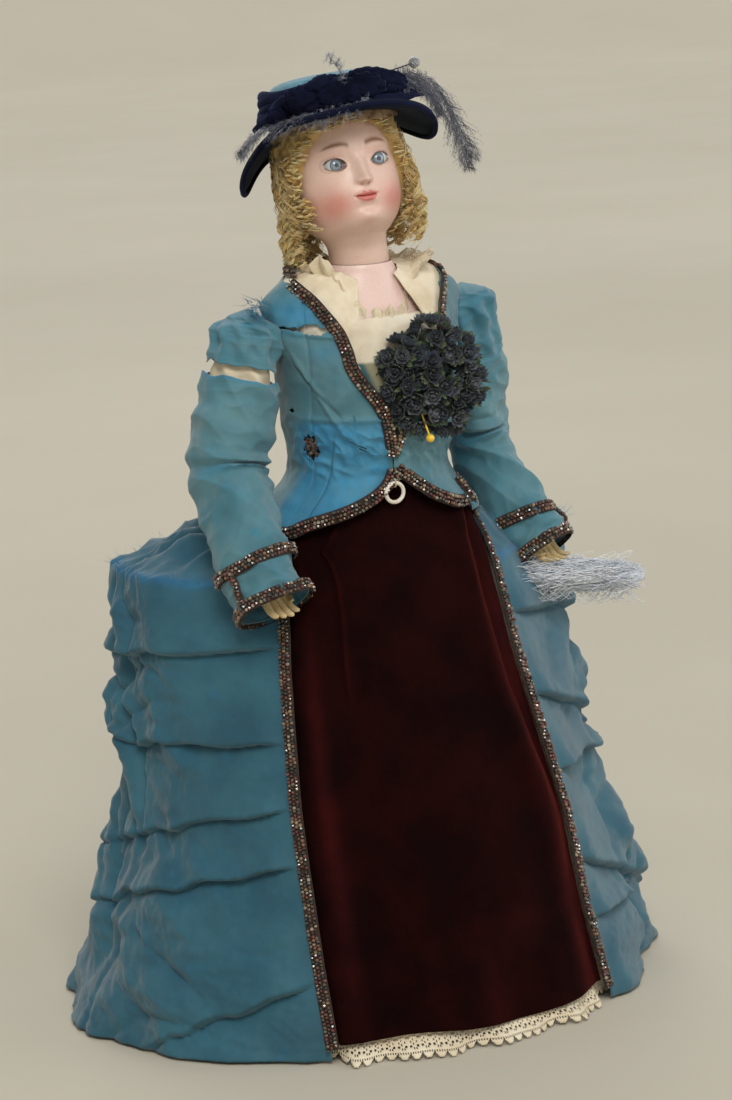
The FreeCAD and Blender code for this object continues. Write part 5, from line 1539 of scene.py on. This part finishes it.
def flower(p, facing, size):
    """A paper flower of four rings of petals, dark inside with lighter rims; the rims carry a painted
    highlight over the paper's own colours.
    """
    x = facing.orthogonal().normalized()
    y = facing.cross(x)
    shade = rng.uniform(0.75, 1.35)
    core = tuple(c * shade for c in rng.choice([(0.010, 0.015, 0.028), (0.016, 0.022, 0.036),
                                                (0.010, 0.020, 0.026)]))
    # rim colours carry a painted highlight on the petals' edges
    rim = tuple(c * shade for c in rng.choice([(0.060, 0.080, 0.115), (0.085, 0.105, 0.135),
                                               (0.045, 0.065, 0.085), (0.16, 0.18, 0.21)]))
    for ring, (count, tilt_up, reach) in enumerate(((6, 0.25, 1.0), (6, 0.75, 0.80), (5, 1.5, 0.55),
                                                    (3, 3.0, 0.35))):
        for k in range(count):
            a = TURN * (k + 0.5 * (ring % 2)) / count + rng.uniform(-0.25, 0.25)
            out = x * math.cos(a) + y * math.sin(a)
            d = (out + facing * tilt_up).normalized()
            leaf(flowers, p + facing * 0.35 * ring, d, (facing - out * 0.8 * tilt_up).normalized(),
                 size * reach * rng.uniform(0.85, 1.1),
                 size * 0.85 * reach + 0.5, size * rng.uniform(0.15, 0.5), core, rim)


# the bunch is flowers on the outside of these balls: x, height and radius
BALLS = [(V((x, -40, z)), r) for x, z, r in ((11, 297, 13.5), (-2, 306.5, 9), (13, 314, 9), (25, 305.5, 9),
                                             (28.5, 291, 9),
                                             (19, 281, 9), (3, 283, 8.6), (0, 295, 9.5))]
TRIES, APART = 260, 4.7                       # places tried on each ball, and how far apart the flowers are
placed = []
for middle, r in BALLS:
    for _ in range(TRIES):
        d = V((rng.uniform(-1, 1), rng.uniform(-1, 0.25), rng.uniform(-1, 1)))
        if d.length > 1 or d.length < 0.1:
            continue
        d.normalize()
        p = middle + d * (r - 1.6)
        if (any((p - m).length < rr - 3.2 for m, rr in BALLS if m is not middle)
                or any((p - q).length < APART for q, _ in placed)):
            continue
        placed.append((p, d))
for p, d in placed:
    facing = (d + V((-0.15, -0.35, 0.1)) + scatter() * 0.18).normalized()
    flower(p, facing, rng.uniform(4.2, 5.3))
    for _ in range(5):
        out = (d.orthogonal() * rng.uniform(-1, 1) + d.cross(d.orthogonal()) * rng.uniform(-1,
                1)).normalized()
        # each leaf's edge is 1.6 times lighter: a painted highlight
        green = rng.choice([(0.045, 0.075, 0.030), (0.075, 0.110, 0.050), (0.035, 0.055, 0.035)])
        leaf(leaves, p + out * 2.4 + d * 0.3, (out + d * 0.8).normalized(), d, rng.uniform(3.2, 5.0),
             rng.uniform(1.8, 2.8), 0.6, green,
             tuple(c * 1.6 for c in green))
for middle, r in BALLS:
    leaves.solid(middle + V((0, 1.5, 0)), [V((r - 3.6, 0, 0)), V((0, r - 3.6, 0)), V((0, 0, r - 3.6))],
                 (0.030, 0.045, 0.026), ICO)
flowers.build("paper_flowers", PAPER, ROOT, ["corsage_bouquet"], slot="flower_paper")
leaves.build("bouquet_leaves", PAPER, ROOT, (), slot="flower_paper")

# ---------------------------------------- bundle of floss feathers in the left hand
floss = Strands()
MIDDLE, ALONG = V((91, -32, 193)), V((0.89, -0.45, -0.06)).normalized()
WIDE = ALONG.cross(V((0, 0, 1))).normalized()
HIGH = WIDE.cross(ALONG)
PALE_BLUE = [(0.90, 0.93, 0.97), (0.82, 0.87, 0.95), (0.97, 0.98, 1.0), (0.72, 0.79, 0.90)]
for k in range(7):                                              # soft middle
    s = (k - 3) * 7.5
    floss.solid(MIDDLE + ALONG * s, [ALONG * 8.5, WIDE * 6.8 * (1 - 0.45 * (s / 30) ** 2),
                                     HIGH * 5.4 * (1 - 0.45 * (s / 30) ** 2)],
                (0.72, 0.79, 0.90), ICO)
for i in range(900):
    a, r = rng.uniform(0, TURN), 9.2 * rng.random() ** 0.5
    start, stop = rng.uniform(-30, -4), rng.uniform(2, 30)
    swirl, phase = rng.uniform(0.5, 2.6), rng.uniform(0, 6)
    pts = []
    for k in range(12):
        t = k / 11
        s = lerp(start, stop, t)
        fat = 1 - 0.55 * (s / 34) ** 2
        wave = math.sin(phase + s * 0.42) * swirl * (0.4 + 0.6 * abs(s) / 30)
        pts.append(MIDDLE + ALONG * s + WIDE * (math.cos(a + s * 0.02) * r * fat + wave * 0.5)
                   + HIGH * (math.sin(a + s * 0.02) * r * 0.8 * fat + wave))
    floss.tube(pts, 0.27, rng.choice(PALE_BLUE), 3, 0.5)
for i in range(430):                         # curled ends that hang below and stand up at the wrist
    s = rng.uniform(-32, 24)
    a = rng.uniform(math.pi * 0.9, math.pi * 2.1) if rng.random() < 0.75 else rng.uniform(0, math.pi)
    p = MIDDLE + ALONG * s + WIDE * math.cos(a) * 7 + HIGH * math.sin(a) * 6.5
    out = (WIDE * math.cos(a) + HIGH * math.sin(a)).normalized()
    curl, size, turn = rng.choice((-1, 1)), rng.uniform(1.2, 3.8), rng.uniform(2.8, 6.4)
    pts = [p]
    for k in range(1, 15):
        t = k / 14
        b = turn * t
        pts.append(p + out * (size * 1.5 * math.sin(b * 0.6) + 1.0 * t)
                   + ALONG * curl * size * (1 - math.cos(b)) + V((0, 0, -1.5 * t)))
    floss.tube(pts, 0.17, rng.choice(PALE_BLUE), 3, 0.4)
floss.build("floss_feathers", FLOSS, "forearm_left", ["feather_bundle"], slot="feather")

# ---------------------------------------- petticoat lace at the hem
LU, LV = 1500, 34
SCALLOPS = 150                                # ten cells of net to each scallop


def lace_point(u, v):
    """The flounce follows the skirt inside its hem and flares under the velvet panel."""
    angle = TURN * (u - 0.5)
    z = lerp(0.9, 25, v)
    low = smooth(0.36, 0.0, v)
    shown = smooth(panel_angle(8, 0) - 0.01, panel_angle(8, 0) + 0.06,
                   angle) * smooth(panel_angle(8, 1) + 0.01, panel_angle(8, 1) - 0.06, angle)
    flare = low * shown * (8.0 + 2.6 * math.sin(angle * 21) + 1.6 * math.sin(angle * 37 + 1))
    p = ring_point(SKIRT, max(z, 8), angle, lerp(-4.2, -3.2, shown) + flare)
    p.z = z + 0.5 * math.sin(angle * 21 + 1) * (1 - v)
    return p


def lace_hole(u, v):
    """Net with a row of ring motifs and a scalloped edge."""
    scallop = 0.5 + 0.5 * math.cos(u * TURN * SCALLOPS)
    if v < 0.10 * (1 - scallop ** 0.6):
        return True
    i, j = int(u * LU), int(v * LV)
    motif = math.hypot(((u * SCALLOPS) % 1 - 0.5) * 2.2, (v - 0.24) / 0.11)
    if motif < 1.0:
        return 0.55 < motif < 0.75 and j % 2 == 0
    if 0.36 < v < 0.42 or v < 0.08:
        return False
    return i % 2 == 1 and j % 2 == 1


verts, faces = grid(LU, LV, lace_point, wrap=True, hole=lace_hole)
lace = piece("petticoat_lace_flounce", verts, faces, LACE, ROOT, ["petticoat_lace"],
             [(1.0, 0.98, 0.94)] * len(verts))
thicken(lace, 0.2)

# ---------------------------------------- bustle pad
def pad_point(u, v):
    """A small bean of stuffed cotton that lies on the skirt behind the waist, under the silk."""
    round_it, over = TURN * u, math.pi * (v - 0.5)
    return ring_point(SKIRT, 186 + 25 * math.cos(over) * math.sin(round_it),
                      math.pi + 0.75 * math.sin(over),
                      7.0 + 5.0 * math.cos(over) * math.cos(round_it))


verts, faces = grid(40, 50, pad_point, wrap=True)
pad = piece("bustle_pad_cotton", verts, faces, BARE_COTTON, ROOT, ["bustle_pad"])

# ---------------------------------------- pieces that keep their CAD shape
HIDDEN = ((WOOD, ("stand_base", "boot_sole_right", "boot_sole_left")),
          (STEEL, ("stand_rod", "stand_clip", "neck_bolt", "neck_spring", "neck_washer")),
          (CORK, ("cork_pate",)),
          (BARE_KID, ("neck_socket_lining", "torso", "upper_arm_right", "upper_arm_left", "thigh_right",
                      "thigh_left",
                      "lower_leg_right", "lower_leg_left")),
          (BOOT, ("boot_right", "boot_left")),
          (THREAD, ("ring_loop",)),
          (BONE, ("waist_ring",)),
          (BARE_COTTON, ("skirt_waistband", "petticoat")),
          (YELLOW, ("corsage_pin",)))
for mat, nodes in HIDDEN:
    for node in nodes:
        obj = bpy.data.objects.get(node)
        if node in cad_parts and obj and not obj.hide_render:
            obj.data.materials.clear()
            obj.data.materials.append(mat)

# ---------------------------------------- floor, light and camera
floor = Nodes("pale_paper", rough=0.9)
paper = floor.ramp(floor.noise(2, 6), [(0.3, (0.54, 0.50, 0.41)), (0.7, (0.58, 0.54, 0.45))])
away = floor.add("ShaderNodeVectorMath", operation="LENGTH")
floor.tree.links.new(floor.where, away.inputs[0])
reach = floor.add("ShaderNodeMapRange", Value=away.outputs["Value"])
reach.inputs["From Min"].default_value, reach.inputs["From Max"].default_value = 0.7, 3.0
reach.inputs["To Max"].default_value = 0.44  # the far paper glows, because the lamps don't reach it
floor.link(paper, "Base Color")
floor.link(paper, "Emission Color")
floor.link(reach.outputs["Result"], "Emission Strength")
floor.bump(floor.noise(60, 5), 0.05, 0.0003)
# how far the floor runs, and the radius of the curve up into the low wall round it
FLAT, TURN_UP = 6000, 1200


def bowl(u, v):
    """A round floor with a low wall far away, so that the doll can be seen from every side."""
    angle, run = TURN * u, (FLAT + 0.5 * math.pi * TURN_UP) * v ** 1.5
    bend = max(0.0, run - FLAT) / TURN_UP
    radius = min(run, FLAT) + TURN_UP * math.sin(bend)
    return V((radius * math.sin(angle), radius * math.cos(angle), TURN_UP * (1 - math.cos(bend))))


verts, faces = grid(96, 60, bowl, wrap=True)
stage = piece("backdrop", verts, faces, floor.mat, None)


def area_light(name, where, target, size, watts, colour):
    """A round lamp, in metres, turned to its target."""
    data = bpy.data.lights.new(name, "AREA")
    data.shape, data.size, data.energy, data.color = "DISK", size, watts, colour
    obj = bpy.data.objects.new(name, data)
    bpy.context.collection.objects.link(obj)
    obj.location = where
    obj.rotation_euler = (V(target) - V(where)).to_track_quat("-Z", "Y").to_euler()


area_light("key", (-0.75, -2.0, 2.3), (0, 0, 0.2), 1.3, 46, (1.0, 0.97, 0.92))
area_light("fill", (1.5, -1.0, 0.9), (0, 0, 0.2), 1.4, 8, (0.94, 0.97, 1.0))
area_light("back", (0.3, 1.5, 1.6), (0, 0, 0.25), 1.2, 9, (1.0, 0.98, 0.95))
world = bpy.context.scene.world or bpy.data.worlds.new("World")
bpy.context.scene.world = world
world.use_nodes = True
world.node_tree.nodes["Background"].inputs["Color"].default_value = (0.95, 0.95, 0.92, 1)
world.node_tree.nodes["Background"].inputs["Strength"].default_value = 0.46
bpy.context.scene.view_settings.view_transform = "Standard"

azimuth, rise, roll = math.radians(-27), math.radians(12), math.radians(-3)
aim, distance = V((0, 0, 0.215)), 1.6
back = V((math.sin(azimuth) * math.cos(rise), -math.cos(azimuth) * math.cos(rise), math.sin(rise)))
right = (-back).cross(V((0, 0, 1))).normalized()
up = right.cross(-back)
side_axis = right * math.cos(roll) + up * math.sin(roll)
up_axis = -right * math.sin(roll) + up * math.cos(roll)
camera = bpy.data.objects.new("camera", bpy.data.cameras.new("camera"))
bpy.context.collection.objects.link(camera)
camera.matrix_world = Matrix.Translation(aim + back * distance) @ Matrix((side_axis, up_axis,
        back)).transposed().to_4x4()
camera.data.sensor_fit, camera.data.sensor_height = "VERTICAL", 36
camera.data.lens = 113.62909
camera.data.shift_x, camera.data.shift_y = -0.0072727, -0.0045455
camera.data.clip_start, camera.data.clip_end = 0.05, 20
bpy.context.scene.camera = camera
